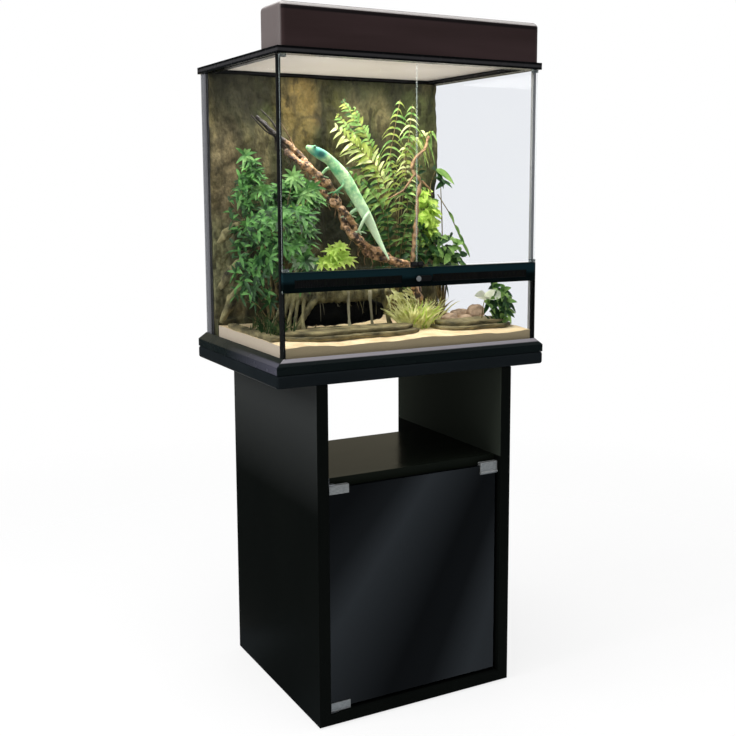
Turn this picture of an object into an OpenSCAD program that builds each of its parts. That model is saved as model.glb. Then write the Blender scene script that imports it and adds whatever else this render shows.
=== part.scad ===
// Terrarium cabinet: an open-shelf stand with a smoked glass door, a glass
// terrarium with two front doors, its planting, and a light canopy.
// Millimetres. The origin is on the floor under the middle of the stand,
// +X to the right, +Y to the back and +Z up. The doors face -Y.

/* [Stand] */
// Height of the stand, from the floor to the top of its slab
stand_h = 744; // [640:1:900]
// Top slab beyond the terrarium's base frame, all round
slab_over = 1; // [0:0.5:20]
// Thickness of the top slab
slab_t = 27; // [20:1:40]
// Radius of the slab's edges and corners
slab_r = 6; // [2:0.5:10]
// Width of the stand's body
body_w = 464; // [420:1:560]
// Setback of the body behind the slab's front and back edges
body_in = 2; // [0:0.5:8]
// Thickness of the two side panels
panel_t = 25; // [20:1:30]
// Thickness of the bottom panel
floor_t = 22; // [18:1:30]
// Height of the shelf's top face above the floor
shelf_z = 520; // [480:1:580]
// Thickness of the shelf
shelf_t = 20; // [16:1:25]
// Depth of the shelf, front to back
shelf_d = 292; // [200:1:340]
// Setback of the shelf behind the side panels' front edges
shelf_in = 25; // [20:1:40]
// Thickness of the back panel
back_t = 5; // [3:0.5:8]
// Height of the back panel's top edge above the floor
back_z = 478; // [300:1:560]
// Setback of the back panel from the side panels' rear edges
back_in = 14; // [8:1:30]
// Height of the furniture glides
glide_h = 4; // [2:0.5:8]
// Diameter of the furniture glides
glide_d = 24; // [16:1:30]

/* [Stand door] */
// Thickness of the stand door's glass
door_t = 6; // [4:0.5:8]
// Gap between the door's glass and each side panel
door_gap = 5; // [4:0.5:8]
// Setback of the glass behind the side panels' front edges
door_in = 10; // [8:0.5:12]
// Overlap of the door's glass over the shelf's lower front edge
door_lap = 2; // [0:0.5:6]
// Width of the two hinge clips
clip_w = 44; // [30:1:60]
// Height of the two hinge clips
clip_h = 18; // [14:1:26]
// Wall of the clips on each face of the glass
clip_wall = 2.5; // [1.5:0.5:3]
// Width of the handle clip
handle_w = 43; // [30:1:60]
// Height of the handle clip
handle_h = 26; // [22:1:40]
// Diameter of the stand door's pivot pins
pivot_d = 4; // [3:0.5:5]

/* [Terrarium] */
// Width over the glass
tank_w = 594; // [560:1:606]
// Depth over the glass
tank_d = 444; // [400:1:446]
// Height from the base frame's underside to the top frame's top
tank_h = 620; // [560:1:700]
// Thickness of the fixed panes
glass_t = 5; // [4:0.5:6]
// Thickness of the door panes
leaf_t = 4; // [3:0.5:4.5]
// Height of the base frame
base_h = 30; // [24:1:40]
// Height of the base frame's upright outer face, below its bevel
base_step = 16; // [14:1:20]
// Base frame beyond the glass, at each side
base_over = 18; // [8:0.5:18]
// Base frame beyond the glass, at front and back
base_over_d = 8; // [4:0.5:8]
// Height of the ledge that carries the panes
ledge_h = 12; // [8:1:13]
// Width of that ledge inside the glass line
ledge_w = 14; // [8:1:20]
// Height of the top frame
top_h = 14; // [13:0.5:20]
// Top frame beyond the glass, all round
top_over = 5.5; // [5:0.25:7]
// Height of the vent strip's underside above the base frame's underside
strip_z = 157; // [120:1:200]
// Height of the vent strip
strip_h = 40; // [36:1:50]
// Thickness of the vent strip
strip_t = 10; // [9:0.5:10]
// Vent strip in front of the glass line
strip_out = 2; // [1:0.25:2]
// Slots in each half of the vent grille
slots = 70; // [40:1:80]
// Diameter of the door panes' hinge pins
pin_d = 3; // [2:0.5:3]

/* [Light canopy] */
// Setback of the canopy's ends from the glass line
canopy_in = 1; // [0:0.5:20]
// Depth of the canopy
canopy_d = 102; // [96:1:150]
// Height of the canopy
canopy_h = 82; // [76:1:110]
// Radius of the canopy's top edges and corners
canopy_r = 11; // [4:0.5:16]
// Wall of the canopy
canopy_t = 8; // [5:0.5:10]
// Diameter of the two lamp tubes
tube_d = 26; // [16:1:28]
// Glass length of the lamp tubes
tube_l = 437; // [288:1:480]

/* [Planting] */
// Depth of sand over the glass floor
sand_h = 35; // [25:1:50]
// Drop of the sand from its level part to the front glass
sand_drop = 11; // [0:0.5:16]
// Greatest thickness of the rock background, at its foot
rock_t = 54; // [45:1:70]
// Radius of each of the liana's two strands
liana_r = 8; // [5:0.5:10]
// Radius of the lizard figure's body at its thickest
lizard_r = 15; // [10:0.5:18]
// Leaves on each stem of the bush
bush_leaves = 8; // [4:1:10]
// Pairs of leaflets on each fern frond
fern_pairs = 9; // [5:1:12]

/* [Hidden] */
$fn = 48;
e = 0.01;      // overshoot of a cut past a face
fit = 0.1;     // clearance of a fixed piece in its seat
run = 0.05;    // radial clearance of a pin in its bore
air = 0.3;     // gap between bodies that move apart

// stand
slab_w = tank_w + 2 * (base_over + slab_over);
slab_d = tank_d + 2 * (base_over_d + slab_over);
body_y0 = -slab_d / 2 + body_in;
body_y1 = slab_d / 2 - body_in;
body_d = body_y1 - body_y0;
inner_x = body_w / 2 - panel_t;
floor_z = glide_h + floor_t;
slab_z = stand_h - slab_t;
shelf_y0 = body_y0 + shelf_in;
back_y = body_y1 - back_in - back_t;
groove = 8;                 // depth of the back panel's grooves
joint_x = body_w / 2 - panel_t / 2;      // dowels and bolts, mid panel
bore_fit = 0.2;             // added to the diameter of a dowel's or bolt's bore
dowel_d = 8;
dowel_l = 30;
dowel_up = 2.5;             // dowels sit so much above the joint's mid plane
dowel_end = 0.5;            // free length at each end of a dowel
dowel_y = [body_y0 + 80, body_y1 - 80];
cam_y = [body_y0 + 39, body_y1 - 39];
cam_r = 6;
cam_l = 14;
cam_z = floor_z + 11;
cam_rim = 0.75;             // rim of a cam's cap past its bore
bolt_d = 6;
bolt_head_t = 3;
shelf_pin_d = 5;
shelf_pin_l = 20;
shelf_pin_y = [shelf_y0 + 34, shelf_y0 + shelf_d - 34];
shelf_pin_z = shelf_z - shelf_t - shelf_pin_d / 2;

// stand door
glass_y = body_y0 + door_in;              // front face of the door's glass
pivot_x = -inner_x + 10;
pivot_y = glass_y + door_t / 2;
clip_in = 6;                              // solid end of a clip, past the glass
clip_x0 = -inner_x + door_gap - 0.5;      // outer end of the hinge clips
handle_x1 = inner_x - door_gap + 1.5;     // outer end of the handle clip
handle_bead = 5;                          // diameter of the bead under the handle
door_top = shelf_z - shelf_t + door_lap;
door_bottom = floor_z + 8;
bracket_t = 1.8;
clip_gap = 1;                             // clip to bracket
catch_w = 30;
catch_h = 14;

// terrarium
base_z = stand_h;
tank_top = base_z + tank_h;
top_z = tank_top - top_h;
pane_z0 = base_z + ledge_h;
pane_z1 = top_z + 5;
glass_floor = pane_z0 + glass_t;
front_y = -tank_d / 2;
side_x = tank_w / 2;
strip_y0 = front_y - strip_out;
strip_y1 = strip_y0 + strip_t;
strip_z0 = base_z + strip_z;
strip_z1 = strip_z0 + strip_h;
trim_y0 = strip_y1 + 0.6;                 // front of the side panes' edge trim
trim_web = 2.4;
trim_wall = 1;
trim_d = 8;
pane_y0 = trim_y0 + trim_web;
seam_out = 1.2;                           // corner seams outside the glass line
fillet = 0.9;                             // silicone fillets up the rear corners
rim_w = 20;                               // top frame inside the glass
screen_rim = 6;                           // ledge that carries the screen
screen_w = 12;                            // width of the screen's frame
screen_t = 5.3;
screen_gap = 0.4;
screen_x = side_x - rim_w + screen_rim - screen_gap;
screen_y = tank_d / 2 - rim_w + screen_rim - screen_gap;
screen_z = tank_top - screen_t - 0.4;
mesh_t = 0.8;
mesh_nx = 16;
mesh_ny = 10;
wire = 1.2;
tab_y = 60;                               // front end of the screen clips
tab_l = 24;
tab_travel = 6;

// vent grille
grille_x0 = 36;
grille_x1 = side_x - 24;
grille_z0 = strip_z0 + 9;
grille_z1 = strip_z0 + 25;
grille_t = 4;
grille_lip = 3;                           // grille behind its window's edges
grille_in = 1.2;                          // setback of the grille in the strip

// door panes
leaf_y = front_y + 0.5 + leaf_t / 2;      // mid plane of the door panes
leaf_x0 = side_x - 0.5;
leaf_x1 = 0.75;
leaf_pin_in = 3.5;
shoe_l = 13;
shoe_h = 6;
shoe_wall = 1.8;
shoe_floor = 3;
leaf_pin_l = 5;
leaf_z0 = strip_z1 + 0.8;                 // underside of the shoes
leaf_z1 = top_z - 0.4;
grip_l = 12;
grip_h = 10;
grip_lip = 4;                             // height of the lip that fingers pull
grip_out = 2.6;
lock_z = strip_z0 + 17;
lock_d = 6;
lock_tab_w = 12;
lock_tab_l = 32;
lock_tab_t = 2.4;
lock_tab_y = leaf_y - leaf_t / 2 - shoe_wall - grip_out - 0.4;

// canopy
canopy_w = tank_w - 2 * canopy_in;
canopy_z = tank_top + air;
canopy_y0 = front_y - 4;
canopy_y = canopy_y0 + canopy_d / 2;
tray_z = canopy_z + 41;
tube_z = tray_z - tube_d / 2 - 4;
tube_y = 19;
tray_x = canopy_w / 2 - canopy_t - 0.2;
tray_w = 60;
wing_y = canopy_d / 2 - canopy_t - 1;
wing_drop = 33;                           // depth of the tray's reflecting wings
wing_t = 0.8;
prong = 6.35;                             // a tube's two prongs, each side of its axis
prong_l = 7;
prong_d = 2.4;
slot_pitch = 16;                          // cooling slots in the canopy's back
switch_x = canopy_w / 2 - 76;
switch_z = canopy_z + 51;
switch_w = 26.8;
switch_h = 18.8;
switch_rim = 2.1;                         // flange of the switch past its cut-out
well_w = 21.2;                            // well that the rocker moves in
well_h = 15.2;
gland_x = canopy_w / 2 - 34;
gland_z = switch_z;
gland_d = 12;
rocker_y = canopy_y0 + canopy_d - 3;      // pivot of the rocker
rocker_w = 13;
rocker_l = 20.4;
rocker_pin_d = 2;
rocker_tip = 8;

// planting
grow = [tank_w / 594, tank_d / 444, tank_h / 620];    // plants follow the tank's size
sand_z = glass_floor + sand_h;
sand_y0 = front_y + glass_t + 1;
sand_y1 = tank_d / 2 - glass_t - rock_t - 1;
level_y = front_y + 72 * grow[1];         // the sand is level behind this line
decor_x = side_x - glass_t - 2;
rock_y1 = tank_d / 2 - glass_t - 0.5;
rock_z0 = glass_floor + 0.5;
rock_z1 = top_z - 0.6;
rock_nx = 24;
rock_nz = 20;
sand_nx = 28;

// Plants, roots and stones are drawn for a tank of 594 x 444 x 620 mm, with the origin
// in the middle of the sand's level top, and in_tank() fits them to this tank. Their
// routes and stems are hand-chosen points.
plan_x = 288;                             // half the width that they may fill
plan_y = 157;                             // how far back they may reach

// the liana, from the rear left to its foot, and the twig that leaves it
liana_path = [[-232, 62, 450], [-192, 40, 410], [-140, 20, 364], [-102, 0, 312],
    [-64, -22, 266], [-46, -40, 214], [-16, -52, 172], [34, -56, 148], [78, -64, 130],
    [92, -66, 84], [96, -60, 34], [98, -58, 4]];
twig_path = [[206, 92, 440], [190, 62, 410], [150, 30, 380], [128, 14, 354], [150, 0, 312],
    [136, -20, 260], [120, -36, 204], [96, -50, 150], [84, -58, 122]];
strand_n = 34;

// the lizard's spine from snout to tail tip, and its girth as a share of lizard_r
lizard_spine = [[-162, -40, 389], [-146, -38, 379], [-124, -36, 373], [-104, -34, 356],
    [-76, -36, 342], [-52, -40, 321], [-36, -46, 299], [-20, -52, 277], [-4, -58, 251],
    [10, -62, 223], [20, -66, 195], [34, -74, 170], [56, -86, 146], [80, -94, 130]];
lizard_girth = [0.3, 0.68, 0.85, 0.6, 0.8, 0.97, 1, 0.95, 0.8, 0.62, 0.45, 0.34, 0.24, 0.12];
// each leg: shoulder or hip, knee, foot on the liana, thickness
lizard_legs = [[[-78, -44, 340], [-66, -52, 316], [-82, -20, 296], 5],
    [[-84, -28, 344], [-100, -16, 342], [-112, 0, 330], 5],
    [[-8, -66, 256], [-22, -72, 240], [-26, -54, 196], 6],
    [[-14, -50, 262], [-34, -42, 262], [-52, -32, 240], 6]];

// the root arch: a beam, a log behind it, and legs that stand on the sand
root_beam = [[-214, -22, 76], [-176, -34, 74], [-112, -38, 80], [-48, -36, 76], [14, -30, 78],
    [44, -20, 74]];
root_log = [[-206, -8, 34], [-150, -12, 38], [-90, -14, 40], [-30, -12, 38], [26, -8, 32]];
root_legs = [[[-176, -46], [-206, -60], 11], [[-112, -46], [-116, -62], 6],
    [[-58, -46], [-52, -62], 5], [[14, -40], [30, -54], 9]];

// stems of the bush: the root on the sand, then the tip
bush_foot = [-185, 70];
bush_stems = [[[-190, 70], [-268, 150, 214]], [[-196, 74], [-264, 70, 396]],
    [[-200, 64], [-270, -20, 244]], [[-186, 58], [-240, -96, 194]],
    [[-180, 64], [-180, -96, 234]], [[-182, 78], [-206, 30, 320]],
    [[-176, 74], [-150, 70, 300]], [[-172, 66], [-112, -30, 230]],
    [[-176, 60], [-128, -84, 190]], [[-190, 80], [-232, 110, 330]],
    [[-180, 70], [-96, 60, 236]]];

// fern fronds: root, knee, tip, leaflet length and width
fern_foot = [120, 108];
fern_fronds = [[[112, 108, 3], [96, 84, 314], [-14, 84, 460], 58, 13],
    [[114, 106, 3], [110, 80, 294], [34, 60, 420], 60, 13],
    [[116, 108, 3], [54, 104, 354], [2, 98, 506], 52, 13],
    [[122, 110, 3], [130, 116, 350], [140, 112, 512], 54, 11],
    [[126, 108, 3], [172, 104, 330], [214, 90, 440], 50, 11],
    [[120, 102, 3], [104, 76, 214], [92, 40, 354], 54, 12]];

// climber stems: root, tip, leaf length
climber_foot = [210, 18];
climber_stems = [[[206, 20], [188, 26, 284], 42], [[212, 16], [206, 10, 214], 44],
    [[216, 12], [236, -6, 154], 40], [[208, 24], [226, 52, 334], 36],
    [[204, 12], [176, -8, 164], 38]];

// low plants: foot, foot's height, height, leaf length and width
rosettes = [[[-62, -16, 66], 172, 36, 11], [[70, -122, 0], 52, 40, 9],
    [[136, -70, 0], 58, 40, 9]];

// flat stones: left end, right end, front edge, depth, height, thickness
ledges = [[-258, 48, -147, 62, 0, 9], [-254, 40, -142, 52, 9, 8],
    [104, 288, -148, 58, 0, 8], [112, 286, -143, 50, 8, 9]];
side_ledge = [[-288, -140], [-272, -146], [-266, -60], [-262, 30], [-270, 100], [-288, 112]];
// loose stones: place, size, turn
boulders = [[[176, -64], [50, 40, 26], 10], [[218, -70], [34, 30, 20], 70],
    [[252, -58], [44, 44, 44], 130], [[150, -30], [30, 26, 18], 200],
    [[228, -26], [46, 38, 30], 300]];

// ---------- shapes that repeat ----------

module slab(x0, x1, y0, y1, z0, z1) {
    translate([x0, y0, z0]) cube([x1 - x0, y1 - y0, z1 - z0]);
}

module mirror_x() {
    children();
    mirror([1, 0, 0]) children();
}

// a box with the same radius on every edge
module rounded_box(x0, x1, y0, y1, z0, z1, r) {
    slab(x0 + r, x1 - r, y0 + r, y1 - r, z0, z1);
    slab(x0 + r, x1 - r, y0, y1, z0 + r, z1 - r);
    slab(x0, x1, y0 + r, y1 - r, z0 + r, z1 - r);
    for (x = [x0 + r, x1 - r]) for (y = [y0 + r, y1 - r]) {
        translate([x, y, z0 + r]) cylinder(r = r, h = z1 - z0 - 2 * r);
        for (z = [z0 + r, z1 - r]) translate([x, y, z]) sphere(r = r);
    }
    for (x = [x0 + r, x1 - r]) for (z = [z0 + r, z1 - r])
        translate([x, y0 + r, z]) rotate([-90, 0, 0]) cylinder(r = r, h = y1 - y0 - 2 * r);
    for (y = [y0 + r, y1 - r]) for (z = [z0 + r, z1 - r])
        translate([x0 + r, y, z]) rotate([0, 90, 0]) cylinder(r = r, h = x1 - x0 - 2 * r);
}

// a cylinder along X from x0 to x1
module rod_x(x0, x1, y, z, d) {
    translate([x0, y, z]) rotate([0, 90, 0]) cylinder(d = d, h = x1 - x0);
}

// a cylinder along Y from y0 to y1
module rod_y(y0, y1, x, z, d) {
    translate([x, y0, z]) rotate([-90, 0, 0]) cylinder(d = d, h = y1 - y0);
}

// a cylinder along Z from z0 to z1
module rod_z(z0, z1, x, y, d) {
    translate([x, y, z0]) cylinder(d = d, h = z1 - z0);
}

// ---------- stand ----------

module furniture_glides() color("#1c1c1c")
    for (x = [-1, 1]) for (y = [body_y0 + 38, body_y1 - 38])
        translate([x * (body_w / 2 - 32), y, 0]) {
            cylinder(d1 = glide_d - 3, d2 = glide_d, h = 1.5);
            translate([0, 0, 1.5]) cylinder(d = glide_d, h = glide_h - 1.5);
        }

module bottom_panel() color("#262627") difference() {
    slab(-body_w / 2, body_w / 2, body_y0, body_y1, glide_h, floor_z);
    slab(-inner_x - groove, inner_x + groove, back_y - fit, back_y + back_t + fit,
        floor_z - groove, floor_z + e);
    mirror_x() {
        for (y = dowel_y)
            rod_z(floor_z + dowel_up - dowel_l / 2 - dowel_end, floor_z + e, joint_x, y,
                dowel_d + bore_fit);
        for (y = cam_y) {
            rod_z(glide_h - e, floor_z + e, joint_x, y, bolt_d + bore_fit);
            rod_z(glide_h - e, glide_h + bolt_head_t + bore_fit, joint_x, y,
                2 * bolt_d + bore_fit);
        }
    }
}

module side_panel() difference() {
    slab(inner_x, body_w / 2, body_y0, body_y1, floor_z, slab_z);
    slab(inner_x - e, inner_x + groove, back_y - fit, back_y + back_t + fit,
        floor_z - e, back_z + fit);
    for (y = dowel_y) {
        rod_z(floor_z - e, floor_z + dowel_up + dowel_l / 2 + dowel_end, joint_x, y,
            dowel_d + bore_fit);
        rod_z(slab_z - dowel_l / 2 - dowel_end, slab_z + e, joint_x, y, dowel_d + bore_fit);
    }
    for (y = cam_y) {
        rod_z(floor_z - e, cam_z, joint_x, y, bolt_d + bore_fit);
        rod_x(inner_x - e, inner_x + cam_l + fit, y, cam_z, 2 * cam_r + bore_fit);
    }
    for (y = shelf_pin_y)
        rod_x(inner_x - e, inner_x + shelf_pin_l / 2 + fit, y, shelf_pin_z,
            shelf_pin_d + bore_fit);
}

module left_side_panel() color("#2b2c2c") mirror([1, 0, 0]) side_panel();
module right_side_panel() color("#2b2c2c") side_panel();

module shelf() color("#232220")
    slab(-inner_x + fit, inner_x - fit, shelf_y0, shelf_y0 + shelf_d,
        shelf_z - shelf_t, shelf_z);

module back_panel() color("#202020")
    slab(-inner_x - groove + fit, inner_x + groove - fit, back_y, back_y + back_t,
        floor_z - groove + fit, back_z);

module top_slab() color("#222629") difference() {
    rounded_box(-slab_w / 2, slab_w / 2, -slab_d / 2, slab_d / 2, slab_z, stand_h, slab_r);
    mirror_x() for (y = dowel_y)
        rod_z(slab_z - e, slab_z + dowel_l / 2 + dowel_end, joint_x, y, dowel_d + bore_fit);
}

// cams in the side panels' inner faces
module cam_locks() color("#3a3a3a") mirror_x() for (y = cam_y) {
    rod_x(inner_x, inner_x + cam_l, y, cam_z, 2 * cam_r);
    rod_x(inner_x - cam_rim, inner_x, y, cam_z, 2 * (cam_r + cam_rim));
}

module cam_bolts() color("silver") mirror_x() for (y = cam_y) {
    rod_z(glide_h + bore_fit, glide_h + bolt_head_t, joint_x, y, 2 * bolt_d);
    rod_z(glide_h + bolt_head_t - e, cam_z - cam_r - bore_fit, joint_x, y, bolt_d);
}

module panel_dowels() color("burlywood") mirror_x() for (y = dowel_y) {
    rod_z(floor_z + dowel_up - dowel_l / 2, floor_z + dowel_up + dowel_l / 2, joint_x, y,
        dowel_d);
    rod_z(slab_z - dowel_l / 2, slab_z + dowel_l / 2, joint_x, y, dowel_d);
}

module shelf_pins() color("silver") mirror_x() for (y = shelf_pin_y)
    rod_x(inner_x - shelf_pin_l / 2, inner_x + shelf_pin_l / 2, y, shelf_pin_z, shelf_pin_d);

// ---------- stand door ----------

module stand_door_glass() color("#1d2226", 0.85)
    slab(-inner_x + door_gap, inner_x - door_gap, glass_y, glass_y + door_t,
        door_bottom, door_top);

// the space a pane takes inside its clips
module door_glass_seat() slab(-inner_x + door_gap - fit, inner_x - door_gap + fit,
    glass_y - fit, glass_y + door_t + fit, door_bottom - fit, door_top + fit);

module stand_door_clips() color("#8f9396") difference() {
    union() for (z = [door_bottom - clip_in, door_top + clip_in - clip_h])
        slab(clip_x0, clip_x0 + clip_w, glass_y - clip_wall, glass_y + door_t + clip_wall,
            z, z + clip_h);
    door_glass_seat();
    rod_z(door_bottom - clip_in - e, door_bottom - 0.4, pivot_x, pivot_y, pivot_d + 2 * run);
    rod_z(door_top + 0.4, door_top + clip_in + e, pivot_x, pivot_y, pivot_d + 2 * run);
}

module stand_door_handle() color("#9a9ea1") difference() {
    z0 = door_top + clip_in + 1 - handle_h;
    union() {
        slab(handle_x1 - handle_w, handle_x1, glass_y - clip_wall,
            glass_y + door_t + clip_wall, z0, z0 + handle_h);
        rod_x(handle_x1 - handle_w, handle_x1, glass_y - clip_wall, z0 + 4, handle_bead);
    }
    door_glass_seat();
}

module stand_hinge_brackets() color("#2a2a2a") {
    z1 = door_top + clip_in + clip_gap;
    slab(-inner_x, -inner_x + bracket_t, shelf_y0 - 22, shelf_y0 - 1, z1, z1 + 18);
    slab(-inner_x, pivot_x + 7, pivot_y - 5.5, pivot_y + 5.5, z1, z1 + bracket_t);
    rod_z(door_top + 1, z1 + e, pivot_x, pivot_y, pivot_d);
    slab(-inner_x + 0.5, pivot_x + 11, pivot_y - 7, pivot_y + 7, floor_z, floor_z + 1.2);
    rod_z(floor_z + 1.2 - e, door_bottom - 1, pivot_x, pivot_y, pivot_d);
}

module door_catch() color("#17181a") {
    y0 = glass_y + door_t + clip_wall + air;
    x0 = handle_x1 - handle_w / 2 - catch_w / 2;
    slab(x0, x0 + catch_w, y0 + 1.5, shelf_y0 + 30, shelf_z - shelf_t - catch_h,
        shelf_z - shelf_t);
    for (x = [x0 + 5, x0 + catch_w - 7])
        slab(x, x + 2, y0, y0 + 2, shelf_z - shelf_t - catch_h + 3, shelf_z - shelf_t - 3);
}

// ---------- terrarium frame and glass ----------

// a block whose four sides lean in above step_z
module bevelled_block(wx, wy, z0, step_z, z1, in_x, in_y) intersection() {
    rotate([90, 0, 0]) linear_extrude(wy * 2, center = true) polygon([[-wx / 2, z0],
        [wx / 2, z0], [wx / 2, step_z], [wx / 2 - in_x, z1], [-wx / 2 + in_x, z1],
        [-wx / 2, step_z]]);
    rotate([90, 0, 90]) linear_extrude(wx * 2, center = true) polygon([[-wy / 2, z0],
        [wy / 2, z0], [wy / 2, step_z], [wy / 2 - in_y, z1], [-wy / 2 + in_y, z1],
        [-wy / 2, step_z]]);
}

module base_frame() color("#101416") difference() {
    bevelled_block(tank_w + 2 * base_over, tank_d + 2 * base_over_d, base_z,
        base_z + base_step, base_z + base_h, base_over - 1.5, base_over_d - 1.5);
    slab(-side_x - fit, side_x + fit, front_y - fit, -front_y + fit, pane_z0,
        base_z + base_h + e);
    slab(-side_x + ledge_w, side_x - ledge_w, front_y + ledge_w, -front_y - ledge_w,
        base_z - e, pane_z0 + e);
}

module floor_glass() color("#b9cfc8", 0.5)
    slab(-side_x + glass_t + fit, side_x - glass_t - fit, front_y + glass_t + fit,
        -front_y - glass_t - fit, pane_z0, glass_floor);

module back_glass() color("#b9cfc8", 0.3)
    slab(-side_x, side_x, -front_y - glass_t, -front_y, pane_z0, pane_z1);

module side_glass() slab(side_x - glass_t, side_x, pane_y0, -front_y - glass_t - fit,
    pane_z0, pane_z1);
module left_glass() color("#b9cfc8", 0.3) mirror([1, 0, 0]) side_glass();
module right_glass() color("#b9cfc8", 0.3) side_glass();

module lower_front_glass() color("#b9cfc8", 0.3)
    slab(-side_x, side_x, front_y, front_y + glass_t, pane_z0, strip_z0 + 5);

module silicone_seams() color("#0c0c0c") mirror_x() {
    // front corners, round the end of the lower pane
    slab(side_x - glass_t - 1, side_x + seam_out, front_y + glass_t + fit, trim_y0,
        base_z + base_h + 0.2, strip_z0 - 0.2);
    slab(side_x, side_x + seam_out, front_y + 0.3, front_y + glass_t + 2 * fit,
        base_z + base_h + 0.2, strip_z0 - 0.2);
    // a fillet up each rear corner
    translate([side_x - glass_t - fit, -front_y - glass_t - fit, sand_z + 10])
        linear_extrude(top_z - 0.2 - sand_z - 10)
            polygon([[0, 0], [-fillet, 0], [0, -fillet]]);
}

module edge_trim() difference() {
    slab(side_x - glass_t - trim_wall, side_x + trim_wall, trim_y0, trim_y0 + trim_d,
        base_z + base_h + 0.2, top_z - 0.2);
    slab(side_x - glass_t - fit / 2, side_x + fit / 2, pane_y0, trim_y0 + trim_d + e,
        base_z, tank_top);
}
module left_edge_trim() color("#0a0a0a") mirror([1, 0, 0]) edge_trim();
module right_edge_trim() color("#85888a") edge_trim();

module vent_strip() color("#0f1417") difference() {
    union() {
        slab(-side_x + 0.5, side_x - 0.5, strip_y0, strip_y1, strip_z0 + 1.5, strip_z1 - 1.5);
        slab(-side_x + 0.5, side_x - 0.5, strip_y0 + 1.5, strip_y1, strip_z0, strip_z1);
        for (z = [strip_z0 + 1.5, strip_z1 - 1.5])
            rod_x(-side_x + 0.5, side_x - 0.5, strip_y0 + 1.5, z, 3);
    }
    // groove for the lower pane
    slab(-side_x - 1, side_x + 1, front_y - fit, front_y + glass_t + fit, strip_z0 - e,
        strip_z0 + 5 + fit);
    mirror_x() {
        // window for the grille, with a rebate at the front
        slab(grille_x0, grille_x1, strip_y0 - e, strip_y1 + e, grille_z0, grille_z1);
        slab(grille_x0 - grille_lip, grille_x1 + grille_lip, strip_y0 + grille_in,
            strip_y0 + grille_in + grille_t + fit, grille_z0 - grille_lip,
            grille_z1 + grille_lip);
        rod_z(strip_z1 - leaf_pin_l, strip_z1 + e, leaf_x0 - leaf_pin_in, leaf_y,
            pin_d + 2 * run);
    }
    rod_y(strip_y0 - e, strip_y1 + e, 0, lock_z, lock_d + 2 * run);
}

module vent_grille() color("#15191b") mirror_x() difference() {
    slab(grille_x0 - grille_lip + fit, grille_x1 + grille_lip - fit,
        strip_y0 + grille_in + fit / 2, strip_y0 + grille_in + grille_t,
        grille_z0 - grille_lip + fit, grille_z1 + grille_lip - fit);
    pitch = (grille_x1 - grille_x0) / slots;
    for (i = [0 : slots - 1])
        slab(grille_x0 + (i + 0.25) * pitch, grille_x0 + (i + 0.75) * pitch, strip_y0,
            strip_y1, grille_z0 + 1, grille_z1 - 1);
}

module top_frame() color("#101214") difference() {
    slab(-side_x - top_over, side_x + top_over, front_y - top_over, -front_y + top_over,
        top_z, tank_top);
    // opening and the ledge for the screen
    slab(-side_x + rim_w, side_x - rim_w, front_y + rim_w, -front_y - rim_w, top_z - e,
        tank_top + e);
    slab(-screen_x - screen_gap, screen_x + screen_gap, -screen_y - screen_gap,
        screen_y + screen_gap, screen_z - air, tank_top + e);
    // grooves for the panes
    mirror_x() slab(side_x - glass_t - fit, side_x + fit, pane_y0 - fit, -front_y + fit,
        top_z - e, pane_z1 + fit);
    slab(-side_x - fit, side_x + fit, -front_y - glass_t - fit, -front_y + fit, top_z - e,
        pane_z1 + fit);
    mirror_x() {
        rod_z(top_z - e, top_z + leaf_pin_l + 0.5, leaf_x0 - leaf_pin_in, leaf_y,
            pin_d + 2 * run);
        slab(screen_x, screen_x + screen_gap + tab_travel, tab_y - 0.5, tab_y + tab_l + 0.5,
            screen_z + 1.9, screen_z + 4.6);
    }
}

// ---------- screen lid ----------

module screen_frame() color("#121416") difference() {
    slab(-screen_x, screen_x, -screen_y, screen_y, screen_z, screen_z + screen_t);
    slab(-screen_x + screen_w, screen_x - screen_w, -screen_y + screen_w,
        screen_y - screen_w, screen_z - e, screen_z + screen_t + e);
    slab(-screen_x + screen_w - 2, screen_x - screen_w + 2, -screen_y + screen_w - 2,
        screen_y - screen_w + 2, screen_z + 0.9, screen_z + 0.9 + mesh_t + fit);
    mirror_x() slab(screen_x - 8.7, screen_x + e, tab_y, tab_y + tab_l, screen_z + 2.2,
        screen_z + screen_t + e);
}

module screen_mesh() color("#c9c5ba") {
    wx = 2 * (screen_x - screen_w) + 3.8;
    wy = 2 * (screen_y - screen_w) + 3.8;
    px = (wx - wire) / mesh_nx;
    py = (wy - wire) / mesh_ny;
    translate([0, 0, screen_z + 0.95]) {
        for (i = [0 : mesh_nx])
            translate([-wx / 2 + i * px, -wy / 2, 0]) cube([wire, wy, mesh_t]);
        for (i = [0 : mesh_ny])
            translate([-wx / 2, -wy / 2 + i * py, 0]) cube([wx, wire, mesh_t]);
    }
}

module screen_clip() {
    slab(screen_x - 8.4, screen_x - 0.3, tab_y + air, tab_y + tab_l - air, screen_z + 2.5,
        screen_z + 4.2);
    slab(screen_x - 8.4, screen_x - 6.6, tab_y + 6, tab_y + tab_l - 6, screen_z + 4.1,
        screen_z + 5.6);
}
module left_screen_clip() color("#1d1f21") mirror([1, 0, 0]) screen_clip();
module right_screen_clip() color("#1d1f21") screen_clip();

// ---------- terrarium doors ----------

module leaf_glass() slab(leaf_x1, leaf_x0, leaf_y - leaf_t / 2, leaf_y + leaf_t / 2,
    leaf_z0 + shoe_floor, leaf_z1 - shoe_floor);

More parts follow.
